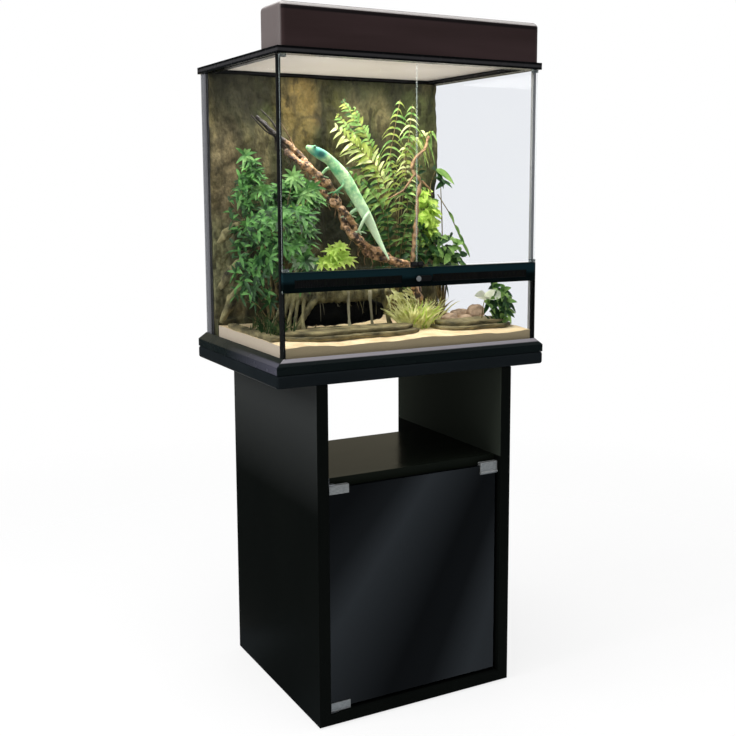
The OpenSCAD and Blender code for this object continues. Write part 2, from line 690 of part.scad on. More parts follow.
module leaf_shoes() {
    pin_x = leaf_x0 - leaf_pin_in;
    difference() {
        for (z = [leaf_z0, leaf_z1 - shoe_h])
            slab(leaf_x0 - shoe_l, leaf_x0, leaf_y - leaf_t / 2 - shoe_wall,
                leaf_y + leaf_t / 2 + shoe_wall, z, z + shoe_h);
        slab(leaf_x1, leaf_x0 + 1, leaf_y - leaf_t / 2 - fit / 2, leaf_y + leaf_t / 2 + fit / 2,
            leaf_z0 + shoe_floor, leaf_z1 - shoe_floor);
    }
    rod_z(leaf_z0 - leaf_pin_l, leaf_z0 + e, pin_x, leaf_y, pin_d);
    rod_z(leaf_z1 - e, leaf_z1 + leaf_pin_l, pin_x, leaf_y, pin_d);
}

module leaf_grip() difference() {
    union() {
        slab(leaf_x1 + 0.3, leaf_x1 + grip_l, leaf_y - leaf_t / 2 - shoe_wall,
            leaf_y + leaf_t / 2 + shoe_wall, leaf_z0, leaf_z0 + grip_h);
        slab(leaf_x1 + 0.3, leaf_x1 + grip_l, leaf_y - leaf_t / 2 - shoe_wall - grip_out,
            leaf_y - leaf_t / 2 - shoe_wall + e, leaf_z0, leaf_z0 + grip_lip);
        translate([leaf_x1 + 0.3, leaf_y - leaf_t / 2 - shoe_wall, leaf_z0 + grip_lip])
            rotate([90, 0, 90]) linear_extrude(grip_l - 0.3)
                polygon([[-grip_out, -e], [0, -e], [0, grip_h - grip_lip - 1]]);
    }
    slab(0, leaf_x0, leaf_y - leaf_t / 2 - fit / 2, leaf_y + leaf_t / 2 + fit / 2,
        leaf_z0 + shoe_floor, leaf_z1);
}

module left_door_glass() color("#b9cfc8", 0.3) mirror([1, 0, 0]) leaf_glass();
module right_door_glass() color("#b9cfc8", 0.3) leaf_glass();
module left_door_shoes() color("#dfe8ea", 0.4) mirror([1, 0, 0]) leaf_shoes();
module right_door_shoes() color("#dfe8ea", 0.4) leaf_shoes();
module left_door_grip() color("#0c0c0c") mirror([1, 0, 0]) leaf_grip();
module right_door_grip() color("#0c0c0c") leaf_grip();

module lock_tab() color("#15171a") {
    rod_y(lock_tab_y - e, strip_y1 - 1, 0, lock_z, lock_d);
    rod_y(lock_tab_y - lock_tab_t, lock_tab_y, 0, lock_z, lock_tab_w);
    slab(0, lock_tab_l - lock_tab_w / 2, lock_tab_y - lock_tab_t, lock_tab_y,
        lock_z - lock_tab_w / 2, lock_z + lock_tab_w / 2);
    rod_y(lock_tab_y - lock_tab_t, lock_tab_y, lock_tab_l - lock_tab_w / 2, lock_z, lock_tab_w);
}

module lock_face() color("#c8cbcd") difference() {
    rod_y(lock_tab_y - lock_tab_t - 1, lock_tab_y - lock_tab_t, 0, lock_z, lock_tab_w - 1);
    slab(-0.5, 0.5, lock_tab_y - lock_tab_t - 2, lock_tab_y - lock_tab_t - 0.4,
        lock_z - 3, lock_z + 3);
}

// ---------- light canopy ----------

module canopy_shell() color("#35262a") difference() {
    rounded_box(-canopy_w / 2, canopy_w / 2, canopy_y0, canopy_y0 + canopy_d,
        canopy_z - 2 * canopy_r, canopy_z + canopy_h, canopy_r);
    slab(-canopy_w, canopy_w, canopy_y0 - 1, canopy_y0 + canopy_d + 1,
        canopy_z - 3 * canopy_r, canopy_z);
    slab(-canopy_w / 2 + canopy_t, canopy_w / 2 - canopy_t, canopy_y0 + canopy_t,
        canopy_y0 + canopy_d - canopy_t, canopy_z - e, canopy_z + canopy_h - canopy_t);
    slab(switch_x - switch_w / 2 - fit, switch_x + switch_w / 2 + fit, canopy_y,
        canopy_y0 + canopy_d + e, switch_z - switch_h / 2 - fit, switch_z + switch_h / 2 + fit);
    rod_y(canopy_y, canopy_y0 + canopy_d + e, gland_x, gland_z, gland_d + 2 * fit);
    // cooling slots in the back
    for (i = [-7 : 6])
        slab((i - 2) * slot_pitch, (i - 2) * slot_pitch + 9, canopy_y,
            canopy_y0 + canopy_d + e, canopy_z + canopy_h - 24, canopy_z + canopy_h - 20);
}

module gear_tray() color("white") {
    slab(-tray_x, tray_x, canopy_y - tray_w / 2, canopy_y + tray_w / 2, tray_z, tray_z + 1);
    for (s = [-1, 1]) translate([-tube_l / 2, canopy_y, 0]) rotate([90, 0, 90])
        linear_extrude(tube_l) polygon([[s * tray_w / 2, tray_z + 1], [s * tray_w / 2, tray_z],
            [s * wing_y, tray_z - wing_drop],
            [s * (wing_y + wing_t), tray_z - wing_drop + wing_t / 2],
            [s * (tray_w / 2 + wing_t), tray_z + 1]]);
}

module lamp_tubes() color("#f4f6f4") for (s = [-1, 1]) {
    rod_x(-tube_l / 2, tube_l / 2, canopy_y + s * tube_y, tube_z, tube_d);
    for (x = [-tube_l / 2 - prong_l, tube_l / 2 - e]) for (p = [-prong, prong])
        rod_x(x, x + prong_l + e, canopy_y + s * tube_y, tube_z + p, prong_d);
}

module lamp_holders() color("#e8e8e4") mirror_x() for (s = [-1, 1]) difference() {
    slab(tube_l / 2 + 0.6, tube_l / 2 + 16, canopy_y + s * tube_y - 13,
        canopy_y + s * tube_y + 13, tube_z - 14, tray_z);
    slab(tube_l / 2, tube_l / 2 + prong_l + 1, canopy_y + s * tube_y - prong_d / 2 - 0.2,
        canopy_y + s * tube_y + prong_d / 2 + 0.2, tube_z - 15, tube_z + 8);
}

module ballast() color("#d8d8d4") {
    slab(-80, 80, canopy_y - 20, canopy_y + 20, tray_z + 1, tray_z + 25);
    slab(-92, 92, canopy_y - 12, canopy_y + 12, tray_z + 1, tray_z + 2.5);
}

module clear_cover() color("#dfe8ea", 0.4)
    slab(-tray_x, tray_x, canopy_y0 + canopy_t + 0.2, canopy_y0 + canopy_d - canopy_t - 0.2,
        canopy_z + 1.5, canopy_z + 4.5);

module switch_housing() color("#121212") difference() {
    y1 = canopy_y0 + canopy_d;
    union() {
        slab(switch_x - switch_w / 2 - switch_rim, switch_x + switch_w / 2 + switch_rim, y1,
            y1 + 1.5, switch_z - switch_h / 2 - switch_rim,
            switch_z + switch_h / 2 + switch_rim);
        slab(switch_x - switch_w / 2, switch_x + switch_w / 2, y1 - 20, y1 + e,
            switch_z - switch_h / 2, switch_z + switch_h / 2);
    }
    slab(switch_x - well_w / 2, switch_x + well_w / 2, y1 - 9, y1 + 2,
        switch_z - well_h / 2, switch_z + well_h / 2);
    rod_x(switch_x - 12, switch_x + 12, rocker_y, switch_z, rocker_pin_d + 2 * run);
}

// the rocker rests tipped one way, and turns to tip as far the other way
module switch_rocker() color("#b02020")
    translate([switch_x, rocker_y, switch_z]) rotate([rocker_tip, 0, 0]) {
        rotate([90, 0, 90]) linear_extrude(rocker_l, center = true) polygon([[-4, -5],
            [4.6, -rocker_w / 2], [3, 0], [4.6, rocker_w / 2], [-4, 5]]);
        rod_x(-11.8, 11.8, 0, 0, rocker_pin_d);
    }

module cord_gland() color("#101010") difference() {
    union() {
        rod_y(canopy_y0 + canopy_d - canopy_t - 3, canopy_y0 + canopy_d + 1, gland_x, gland_z,
            gland_d);
        rod_y(canopy_y0 + canopy_d, canopy_y0 + canopy_d + 2, gland_x, gland_z, gland_d + 5);
        rod_y(canopy_y0 + canopy_d - canopy_t - 3, canopy_y0 + canopy_d - canopy_t - 0.2,
            gland_x, gland_z, gland_d + 3);
    }
    rod_y(canopy_y0 + canopy_d - canopy_t - 4, canopy_y0 + canopy_d + 3, gland_x, gland_z, 7);
}

// ---------- planting: curves, tubes, leaves and rocks ----------

function unit(v) = v / norm(v);
function bump(x, c, w) = exp(-pow((x - c) / w, 2));
function ease(t) = let (c = min(1, max(0, t))) c * c * (3 - 2 * c);

// a point at t (0 to 1) along straight runs between points
function along(p, t) = let (s = min(t, 0.9999) * (len(p) - 1), i = floor(s))
    p[i] + (p[i + 1] - p[i]) * (s - i);
// the same, with its corners rounded off
function smooth_at(p, t, w = 0.05) = let (h = min(w, t, 1 - t))
    (along(p, t - h) + along(p, t) * 2 + along(p, t + h)) / 4;

function tangent(p, i) = unit(p[min(i + 1, len(p) - 1)] - p[max(i - 1, 0)]);

// a closed tube through points p, with radius r[i] at each
module tube(p, r, sides = 6) {
    n = len(p);
    ref = [0.31, 0.9, 0.17];
    points = [for (i = [0 : n - 1]) let (t = tangent(p, i), u = unit(cross(t, ref)),
        v = cross(t, u)) for (k = [0 : sides - 1])
            p[i] + r[i] * (cos(360 * k / sides) * u + sin(360 * k / sides) * v)];
    skin = [for (i = [0 : n - 2]) for (k = [0 : sides - 1])
        let (a = i * sides + k, b = i * sides + (k + 1) % sides)
            each [[a, a + sides, b], [b, a + sides, b + sides]]];
    first = [for (k = [0 : sides - 1]) k];
    last = [for (k = [0 : sides - 1]) n * sides - 1 - k];
    polyhedron(points, concat(skin, [first, last]), convexity = 6);
}

// a leaf blade from point a towards b, with its width across the direction side
module leaf(a, b, width, side = [0, 0, 1], thick = 1.2) {
    along_leaf = b - a;
    mid = a + along_leaf * 0.42;
    w = unit(cross(along_leaf, side)) * width / 2;
    h = unit(cross(along_leaf, w)) * thick;
    hull() polyhedron([a, mid + w, b, mid - w, mid + h, mid - h],
        [[0, 4, 1], [1, 4, 2], [2, 4, 3], [3, 4, 0], [1, 5, 0], [2, 5, 1], [3, 5, 2], [0, 5, 3]]);
}

// plants, roots and stones, fitted to the tank
module in_tank() translate([0, 0, sand_z]) scale(grow) children();

function on_sand(p, z = 3) = [p[0], p[1], z];

// a flat round foot that stands a plant, root or vine on the sand
module foot(p, d = 44, h = 7)
    translate([p[0], p[1], 0]) cylinder(d1 = d, d2 = d * 0.7, h = h, $fn = 10);

// a rounded rock with a flat underside, from a sphere whose radius swells and dips
module boulder(p, size, turn, rings = 5, sides = 9) {
    function at(i, k) = let (a = 360 * k / sides + turn, b = 180 * i / rings - 90,
        s = 1 + 0.12 * sin(3 * a + turn) * cos(b) + 0.07 * sin(5 * a - 2 * turn + b))
        [p[0] + size[0] / 2 * s * cos(a) * cos(b), p[1] + size[1] / 2 * s * sin(a) * cos(b),
            size[2] * 0.38 + size[2] * 0.62 * s * sin(b)];
    points = concat([at(0, 0)], [for (i = [1 : rings - 1]) for (k = [0 : sides - 1]) at(i, k)],
        [at(rings, 0)]);
    top = len(points) - 1;
    faces = concat(
        [for (k = [0 : sides - 1]) [0, 1 + (k + 1) % sides, 1 + k]],
        [for (i = [0 : rings - 3]) for (k = [0 : sides - 1])
            let (a = 1 + i * sides + k, b = 1 + i * sides + (k + 1) % sides)
                each [[a, b, a + sides], [b, b + sides, a + sides]]],
        [for (k = [0 : sides - 1]) let (a = 1 + (rings - 2) * sides)
            [top, a + k, a + (k + 1) % sides]]);
    intersection() {
        polyhedron(points, [for (f = faces) [f[2], f[1], f[0]]]);
        slab(p[0] - size[0], p[0] + size[0], p[1] - size[1], p[1] + size[1], 0, 2 * size[2]);
    }
}

// thickness of the rock background at width x and height z: ribs, creases and waves
function rock_at(x, z) = z < sand_z + 12 ? rock_t : let (u = x / grow[0],
    h = (z - sand_z) / grow[2]) min(rock_t - 2,
    24 + 15 * bump(u, -78, 46) + 11 * bump(u, -212, 52) + 10 * bump(u, 92, 60)
    + 12 * bump(u, 262, 34) - 9 * bump(u, -6, 12) - 6 * bump(u, -142, 12)
    + 3.5 * sin(0.9 * h + 1.3 * u) + 2.5 * sin(2.1 * h - 0.8 * u + 230) + 9 * bump(h, 30, 60));

// a solid whose front is a sheet of points in rows of w, and whose back lies in
// a plane: the sheet's rim, moved so that its coordinate number axis is at level
module relief(sheet, w, axis, level) {
    m = len(sheet);
    rows = m / w;
    rim = concat([for (i = [0 : w - 2]) i], [for (j = [0 : rows - 2]) j * w + w - 1],
        [for (i = [w - 1 : -1 : 1]) (rows - 1) * w + i], [for (j = [rows - 1 : -1 : 1]) j * w]);
    k = len(rim);
    function flat(p) = [for (c = [0 : 2]) c == axis ? level : p[c]];
    polyhedron(concat(sheet, [for (i = rim) flat(sheet[i])], [flat((sheet[0] + sheet[m - 1]) / 2)]),
        concat([for (j = [0 : rows - 2]) for (i = [0 : w - 2]) let (a = j * w + i)
                each [[a, a + w, a + 1], [a + 1, a + w, a + w + 1]]],
            [for (i = [0 : k - 1]) let (n = (i + 1) % k)
                each [[rim[i], rim[n], m + n], [rim[i], m + n, m + i], [m + i, m + n, m + k]]]),
        convexity = 8);
}

rock_xz = [for (j = [0 : rock_nz]) for (i = [0 : rock_nx])
    [-decor_x + 2 * decor_x * i / rock_nx, rock_z0 + (rock_z1 - rock_z0) * j / rock_nz]];
module rock_background() color("#8a7650")
    relief([for (p = rock_xz) [p[0], rock_y1 - rock_at(p[0], p[1]), p[1]]], rock_nx + 1,
        1, rock_y1);

// height of the sand at width x and depth y
function sand_at(x, y) = y > level_y - 1 ? sand_z
    : let (t = ease((level_y - y) / (level_y - sand_y0)), u = x / grow[0])
        sand_z - sand_drop * t + 1.6 * t * sin(1.1 * u + 40) + 1.2 * t * sin(2.7 * u);

sand_xy = [for (y = [sand_y0, sand_y0 + 14, sand_y0 + 30, sand_y0 + 46, level_y, sand_y1])
    for (i = [0 : sand_nx]) [-decor_x + 2 * decor_x * i / sand_nx, y]];
module sand_bed() color("#d9c49a")
    relief([for (p = sand_xy) [p[0], p[1], sand_at(p[0], p[1])]], sand_nx + 1,
        2, glass_floor);

// a flat stone with wavy long edges
module ledge_plate(x0, x1, y0, depth, z0, t, waves = 3.5) translate([0, 0, z0])
    linear_extrude(t) polygon(concat(
        [for (i = [0 : 10]) let (u = i / 10) [x0 + (x1 - x0) * u,
            y0 + waves * sin(360 * 1.7 * u + x0) + 26 * pow(2 * u - 1, 4)]],
        [for (i = [10 : -1 : 0]) let (u = i / 10) [x0 + (x1 - x0) * u,
            y0 + depth - waves * sin(360 * 1.3 * u) - 6 * pow(2 * u - 1, 4)]]));

// stepped stones along the front, with a gap between them, and one at the left
module stone_ledges() color("#7c6a44") in_tank() {
    for (g = ledges) ledge_plate(g[0], g[1], g[2], g[3], g[4], g[5]);
    linear_extrude(10) polygon(side_ledge);
}

// an arch of roots in front of a log
module root_cave() color("#6b5a40") in_tank() {
    tube(root_beam, [9, 17, 20, 18, 15, 7], 8);
    tube(root_log, [22, 31, 34, 30, 20], 8);
    for (g = root_legs) {
        top = [g[0][0], g[0][1], 74];
        low = on_sand(g[1], 18);
        tube([top + [0, 12, 0], top - [0, 0, 18], low, [low[0] - 2, low[1], 3]],
            [g[2], g[2] * 0.9, g[2] * 0.85, g[2]], 6);
        foot(g[1], g[2] * 2.8, 5);
    }
}

module stones() color("#b9a384") in_tank() for (g = boulders) boulder(g[0], g[1], g[2]);

// one strand of the liana, turning round the route
module strand(phase, r) {
    path = [for (i = [0 : strand_n]) let (t = i / strand_n, c = smooth_at(liana_path, t),
        a = 1500 * t + phase, k = 7 * min(1, 6 * t, 6 * (1 - t) + 0.3))
            c + [k * cos(a), k * sin(a), k * 0.3 * cos(a + 60)]];
    tube(path, [for (i = [0 : strand_n])
        r * (0.55 + 0.45 * min(1, i / 8)) * (1 + 0.12 * sin(400 * i))], 6);
}

module liana() color("#7a4a2c") in_tank() {
    strand(0, liana_r);
    strand(180, liana_r * 0.85);
    tube([for (i = [0 : 18]) smooth_at(twig_path, i / 18) + [3 * sin(70 * i), 2 * cos(90 * i), 0]],
        [for (i = [0 : 18]) 2.6 + 2.6 * i / 18], 6);
    foot(liana_path[len(liana_path) - 1], 52, 9);
}

// least distance from point p to the route of the liana and to the lizard
liana_line = [for (i = [0 : 40]) smooth_at(liana_path, i / 40)];
lizard_line = [for (i = [0 : 26]) smooth_at(lizard_spine, i / 26)];
function off(line, p) = min([for (q = line) norm(q - p)]);
function clear_way(p) = off(liana_line, p) > 30 && off(lizard_line, p) > 24
    && (p[2] > 122 || p[1] > 52);

// a slim lizard that rests on the liana, with its tail along it
module lizard_figure() color("#a9d8ac") in_tank() {
    n = len(lizard_line) - 1;
    tube(lizard_line, [for (i = [0 : n]) lizard_r * along(lizard_girth, i / n)], 8);
    for (g = lizard_legs) {
        tube([g[0], g[1], g[2]], [g[3], g[3] * 0.75, g[3] * 0.6], 6);
        for (a = [-14, 0, 14]) tube([g[2] + [0, 0, 2], g[2] + [a, -a / 2, -9]], [2.2, 1], 5);
    }
}

// a stem that leans from its root to its tip, with a knee at share k of the way
function stem_points(root, tip, k, rise, n) = let (knee = [root[0] + (tip[0] - root[0]) * k,
    root[1] + (tip[1] - root[1]) * k, root[2] + (tip[2] - root[2]) * rise])
        [for (i = [0 : n]) smooth_at([root, knee, tip], i / n, 0.12)];

module bush() color("#2f7a3c") in_tank() {
    foot(bush_foot, 70, 9);
    for (s = [0 : len(bush_stems) - 1]) {
        stem = stem_points(on_sand(bush_stems[s][0]), bush_stems[s][1], 0.25, 0.45, 6);
        tube(stem, [for (i = [0 : 6]) 3 - 0.28 * i], 5);
        for (i = [0 : bush_leaves - 1]) {
            t = 0.36 + 0.62 * i / (bush_leaves - 1);
            a = 137.5 * i + 47 * s;
            base = along(stem, t);
            size = 58 - 12 * t;
            end = base + size * [0.86 * cos(a), 0.86 * sin(a), 0.5 - 0.75 * t * sin(a * 0.5)];
            if (abs(end[0]) < plan_x && end[1] < plan_y && clear_way(end)
                && clear_way((base + end) / 2))
                leaf(base - 0.02 * (end - base), end, 15, [0.2 * cos(a), 0.2 * sin(a), 1]);
        }
    }
}

// a frond: an arching midrib with pairs of leaflets
module frond(root, knee, tip, length, width) {
    rib = [for (i = [0 : 8]) smooth_at([root, knee, tip], i / 8, 0.12)];
    tube(rib, [for (i = [0 : 8]) 2.2 - 0.15 * i], 5);
    for (i = [0 : fern_pairs - 1]) for (s = [-1, 1]) {
        t = 0.32 + 0.66 * i / (fern_pairs - 1);
        base = along(rib, t);
        dir = unit(tip - knee);
        out = unit(cross(dir, [0.15, -1, 0.1])) * s;
        end = base + length * (1 - 0.55 * t) * unit(out + 0.55 * dir + [0, -0.15, 0]);
        leaf(base, end, width, [0, 1, 0.2], 1);
    }
}

module ferns() color("#b9c95a") in_tank() {
    foot(fern_foot, 60, 9);
    for (g = fern_fronds) frond(g[0], g[1], g[2], g[3], g[4]);
}

// broad leaves at the right, and dark leaves with long tips
module climber() color("#4f8a35") in_tank() {
    foot(climber_foot, 40, 8);
    for (s = [0 : len(climber_stems) - 1]) {
        c = climber_stems[s];
        stem = stem_points(on_sand(c[0]), c[1], 0.3, 0.5, 5);
        tube(stem, [for (i = [0 : 5]) 2.6 - 0.25 * i], 5);
        for (i = [0 : 5]) {
            t = 0.5 + 0.48 * i / 5;
            a = 137.5 * i + 60 * s;
            base = along(stem, t);
            end = base + c[2] * [0.8 * cos(a), 0.7 * sin(a), 0.55 - 0.9 * (i % 2)];
            if (end[0] < plan_x) leaf(base - 0.02 * (end - base), end, 17, [0.2, 0, 1]);
        }
    }
}

// a lime plant rooted on the log, and tufts on the sand in front
module low_plants() color("#a8c24a") in_tank() for (g = rosettes) {
    top = [g[0][0], g[0][1], g[1] - 14];
    if (g[0][2] == 0) foot(g[0], 20, 7);
    tube([g[0] + [0, 0, 3], (g[0] + top) / 2 + [0, 2, 0], top], [2.4, 2.2, 2], 5);
    for (i = [0 : 8]) {
        a = 360 * i / 9 + g[0][0];
        start = top - [0, 0, 6];
        leaf(start, start + [g[2] * cos(a), min(g[2], 34) * sin(a), 10 + 22 * (i % 3)], g[3]);
    }
}

furniture_glides();
bottom_panel();
left_side_panel();
right_side_panel();
shelf();
back_panel();
top_slab();
cam_locks();
cam_bolts();
panel_dowels();
shelf_pins();
stand_door_glass();
stand_door_clips();
stand_door_handle();
stand_hinge_brackets();
door_catch();
base_frame();
floor_glass();
back_glass();
left_glass();
right_glass();
lower_front_glass();
silicone_seams();
left_edge_trim();
right_edge_trim();
vent_strip();
vent_grille();
top_frame();
screen_frame();
screen_mesh();
left_screen_clip();
right_screen_clip();
left_door_glass();
left_door_shoes();
left_door_grip();
right_door_glass();
right_door_shoes();
right_door_grip();
lock_tab();
lock_face();
canopy_shell();
gear_tray();
lamp_tubes();
lamp_holders();
ballast();
clear_cover();
switch_housing();
switch_rocker();
cord_gland();
rock_background();
sand_bed();
stone_ledges();
root_cave();
stones();
liana();
lizard_figure();
bush();
ferns();
climber();
low_plants();
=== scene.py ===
# Looks of the terrarium cabinet: glass, laminate, planting, light and camera round
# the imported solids. Lengths are in metres in the frame of the solids: the origin is
# on the floor under the stand, +X to the right, +Y to the back, +Z up. Routes and
# places of the planting are written in millimetres over the sand, as the solids'
# source has them. Axes are written as 0, 1 and 2 for X, Y and Z.
import math
import random

import bpy
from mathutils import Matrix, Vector, noise


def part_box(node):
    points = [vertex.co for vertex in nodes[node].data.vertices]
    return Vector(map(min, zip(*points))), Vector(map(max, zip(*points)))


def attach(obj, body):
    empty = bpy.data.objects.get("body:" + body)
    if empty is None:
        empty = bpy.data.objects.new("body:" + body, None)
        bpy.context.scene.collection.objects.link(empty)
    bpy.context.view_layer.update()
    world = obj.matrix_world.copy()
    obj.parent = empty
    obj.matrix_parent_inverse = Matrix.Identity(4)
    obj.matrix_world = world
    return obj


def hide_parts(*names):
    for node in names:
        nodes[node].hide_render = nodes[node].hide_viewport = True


MM = 0.001
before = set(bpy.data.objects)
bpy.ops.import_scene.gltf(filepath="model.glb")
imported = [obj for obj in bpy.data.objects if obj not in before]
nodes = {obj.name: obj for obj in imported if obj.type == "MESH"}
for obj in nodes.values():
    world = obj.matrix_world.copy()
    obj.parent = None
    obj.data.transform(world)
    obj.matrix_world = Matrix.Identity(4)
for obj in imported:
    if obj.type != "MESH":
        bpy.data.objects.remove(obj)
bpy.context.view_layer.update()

# ---------- camera ----------

FRAME_PX = 736
FOCAL_PX = 1066.66
CENTRE_PX = (405, 330)
SENSOR_MM = 36
CAMERA_PLACE = (-1.0927, -2.1033, 1.107)
CAMERA_YAW = 29.495
CAMERA_PITCH = -7.735
CAMERA_REACH = 50


def make_camera():
    data = bpy.data.cameras.new("camera")
    data.sensor_width = SENSOR_MM
    data.lens = FOCAL_PX / FRAME_PX * SENSOR_MM
    data.shift_x = 0.5 - CENTRE_PX[0] / FRAME_PX
    data.shift_y = CENTRE_PX[1] / FRAME_PX - 0.5
    data.clip_end = CAMERA_REACH
    camera = bpy.data.objects.new("camera", data)
    camera.location = CAMERA_PLACE
    camera.rotation_euler = (math.radians(90 + CAMERA_PITCH), 0, math.radians(-CAMERA_YAW))
    bpy.context.collection.objects.link(camera)
    bpy.context.scene.camera = camera


make_camera()

# ---------- node helpers ----------


def feed(tree, socket, value):
    """Gives a socket another node's output, a number or a colour."""
    if isinstance(value, bpy.types.NodeSocket):
        tree.links.new(value, socket)
    elif socket.type == "RGBA":
        socket.default_value = (*value, 1)
    else:
        socket.default_value = value


def add(tree, kind, **inputs):
    """A new shader node. The other words are the names of its sockets."""
    node = tree.nodes.new("ShaderNode" + kind)
    for name, value in inputs.items():
        feed(tree, node.inputs[name.replace("_", " ")], value)
    return node


def shader(name, color=(0.5, 0.5, 0.5), roughness=0.5, specular=0.5, **sockets):
    """A new material; returns it with its tree and its Principled shader."""
    mat = bpy.data.materials.new(name)
    mat.use_nodes = True
    tree = mat.node_tree
    bsdf = tree.nodes["Principled BSDF"]
    sockets = {"Base_Color": color, "Roughness": roughness, "Specular_IOR_Level": specular, **sockets}
    for socket, value in sockets.items():
        feed(tree, bsdf.inputs[socket.replace("_", " ")], value)
    return mat, tree, bsdf


def output_of(tree, last_shader):
    feed(tree, tree.nodes["Material Output"].inputs["Surface"], last_shader)


def blend(tree, factor, first, second):
    """Two shaders in one; the factor is a number or a socket."""
    node = add(tree, "MixShader")
    for socket, value in zip(node.inputs, (factor, first, second)):
        feed(tree, socket, value)
    return node.outputs["Shader"]


def calculate(tree, operation, first, second=0.0):
    """An operation on two values; each is a number or a socket."""
    node = add(tree, "Math")
    node.operation = operation
    for socket, value in zip(node.inputs, (first, second)):
        feed(tree, socket, value)
    return node.outputs["Value"]


def product(tree, first, *others):
    """All the values multiplied, in their order."""
    for value in others:
        first = calculate(tree, "MULTIPLY", first, value)
    return first


def place(tree, stretch=(1, 1, 1), offset=(0, 0, 0)):
    """Object coordinates, stretched and moved."""
    coords = add(tree, "TexCoord")
    mapping = add(tree, "Mapping", Vector=coords.outputs["Object"], Scale=stretch, Location=offset)
    return mapping.outputs["Vector"]


def distance(tree, stretch=(1, 1, 1), offset=(0, 0, 0)):
    """How far from the origin of the stretched and moved coordinates a point lies."""
    node = add(tree, "VectorMath")
    node.operation = "LENGTH"
    feed(tree, node.inputs[0], place(tree, stretch, offset))
    return node.outputs["Value"]


def component(tree, output, axis):
    """One axis of an output of the texture coordinates."""
    coords = add(tree, "TexCoord")
    return add(tree, "SeparateXYZ", Vector=coords.outputs[output]).outputs[axis]


def squareness(tree, axis):
    """1 on faces that look along an axis of the object, 0 on those that run with it."""
    return calculate(tree, "ABSOLUTE", component(tree, "Normal", axis))


def noise_field(tree, scale, detail=4, stretch=(1, 1, 1)):
    """Noise with so many blotches per metre, from 0 to 1."""
    return add(tree, "TexNoise", Scale=scale, Detail=detail, Vector=place(tree, stretch)).outputs["Fac"]


def spread(tree, value, low, high, to_low=0.0, to_high=1.0):
    """Maps low..high of a value to a new range."""
    node = add(tree, "MapRange", Value=value, From_Min=low, From_Max=high, To_Min=to_low, To_Max=to_high)
    return node.outputs["Result"]


def ramp(tree, value, *stops):
    """A colour for each value: stops are (place, colour)."""
    node = add(tree, "ValToRGB", Fac=value)
    marks = node.color_ramp.elements
    while len(marks) < len(stops):
        marks.new(0.5)
    for mark, (position, color) in zip(marks, stops):
        mark.position = position
        mark.color = (*color, 1)
    return node.outputs["Color"]


def mix_color(tree, factor, first, second):
    """Two colours in one; each is a colour or a socket."""
    node = add(tree, "Mix")
    node.data_type = "RGBA"
    color_sockets = [s for s in node.inputs if s.type == "RGBA"]
    for socket, value in zip((node.inputs[0], *color_sockets), (factor, first, second)):
        feed(tree, socket, value)
    return next(s for s in node.outputs if s.type == "RGBA")


def bump(tree, bsdf, height, strength, depth):
    """Raises the surface by up to depth metres."""
    node = add(tree, "Bump", Strength=strength, Distance=depth, Height=height)
    feed(tree, bsdf.inputs["Normal"], node.outputs["Normal"])


# ---------- where a mark lies ----------

# Each of these gives a function of the tree: 1 where the mark lies, falling to 0 beside it.


def facing(axis, start, end):
    """The mark grows as a face turns, so that its normal's share along the axis goes from start to end."""
    return lambda tree: spread(tree, component(tree, "Normal", axis), start, end)


def square_to(axis, start, end):
    """The same for both faces across an axis."""
    return lambda tree: spread(tree, squareness(tree, axis), start, end)


def toward(axis, start, end, share=1.0):
    """The mark grows along an axis of the object."""
    return lambda tree: spread(tree, component(tree, "Object", axis), start, end, 0, share)


def within(axis, low, high, edge=0.6 * MM):
    """The mark lies between two places on an axis of the object."""
    def where(tree):
        coordinate = component(tree, "Object", axis)
        rise = spread(tree, coordinate, low - edge, low + edge)
        fall = spread(tree, coordinate, high + edge, high - edge)
        return product(tree, rise, fall)
    return where


def under_top(node, low, high, edge=0.6 * MM):
    """The mark lies between two depths in metres under the top of a node."""
    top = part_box(node)[1][2]
    return within(2, top - low, top - high, edge)


def near(centre, radii, hard, share):
    """The mark lies at a place, and ends at the given distances along the three axes."""
    def where(tree):
        stretch = tuple(1 / r for r in radii)
        offset = tuple(-c / r for c, r in zip(centre, radii))
        return product(tree, spread(tree, distance(tree, stretch, offset), 1.0, 1.0 - hard), share)
    return where


def blotches(scale, start, end, share, detail=4, stretch=(1, 1, 1)):
    """The mark grows where the noise goes from start to end."""
    return lambda tree: spread(tree, noise_field(tree, scale, detail, stretch), start, end, 0, share)


def where_all(*places):
    """The mark lies where all of these do."""
    return lambda tree: product(tree, *(where(tree) for where in places))


def paint(tree, bsdf, color, marks):
    """Gives a shader a colour, and over it marks: where each lies, and its colour."""
    for where, mark_color in marks:
        color = mix_color(tree, where(tree), color, mark_color)
    feed(tree, bsdf.inputs["Base Color"], color)


# ---------- plain surfaces ----------


def surface(name, dark, light, scale, roughness, grain, stretch=(1, 1, 1), specular=0.5, marks=(),
            **sockets):
    """A material that drifts between two colours, with an uneven sheen and a fine grain.

    The grain is its blotches per metre, its strength and its depth in metres.
    """
    mat, tree, bsdf = shader(name, dark, roughness[0], specular, **sockets)
    drift = noise_field(tree, scale, 5, stretch)
    paint(tree, bsdf, ramp(tree, drift, (0.3, dark), (0.7, light)), marks)
    sheen = spread(tree, noise_field(tree, scale * 1.7, 3, stretch), 0.3, 0.7, *roughness)
    feed(tree, bsdf.inputs["Roughness"], sheen)
    grain_scale, strength, depth = grain
    bump(tree, bsdf, noise_field(tree, grain_scale, 3, stretch), strength, depth)
    return mat


# farther than the object's own sides reach; its top lies under twice that
BEYOND = 1.0
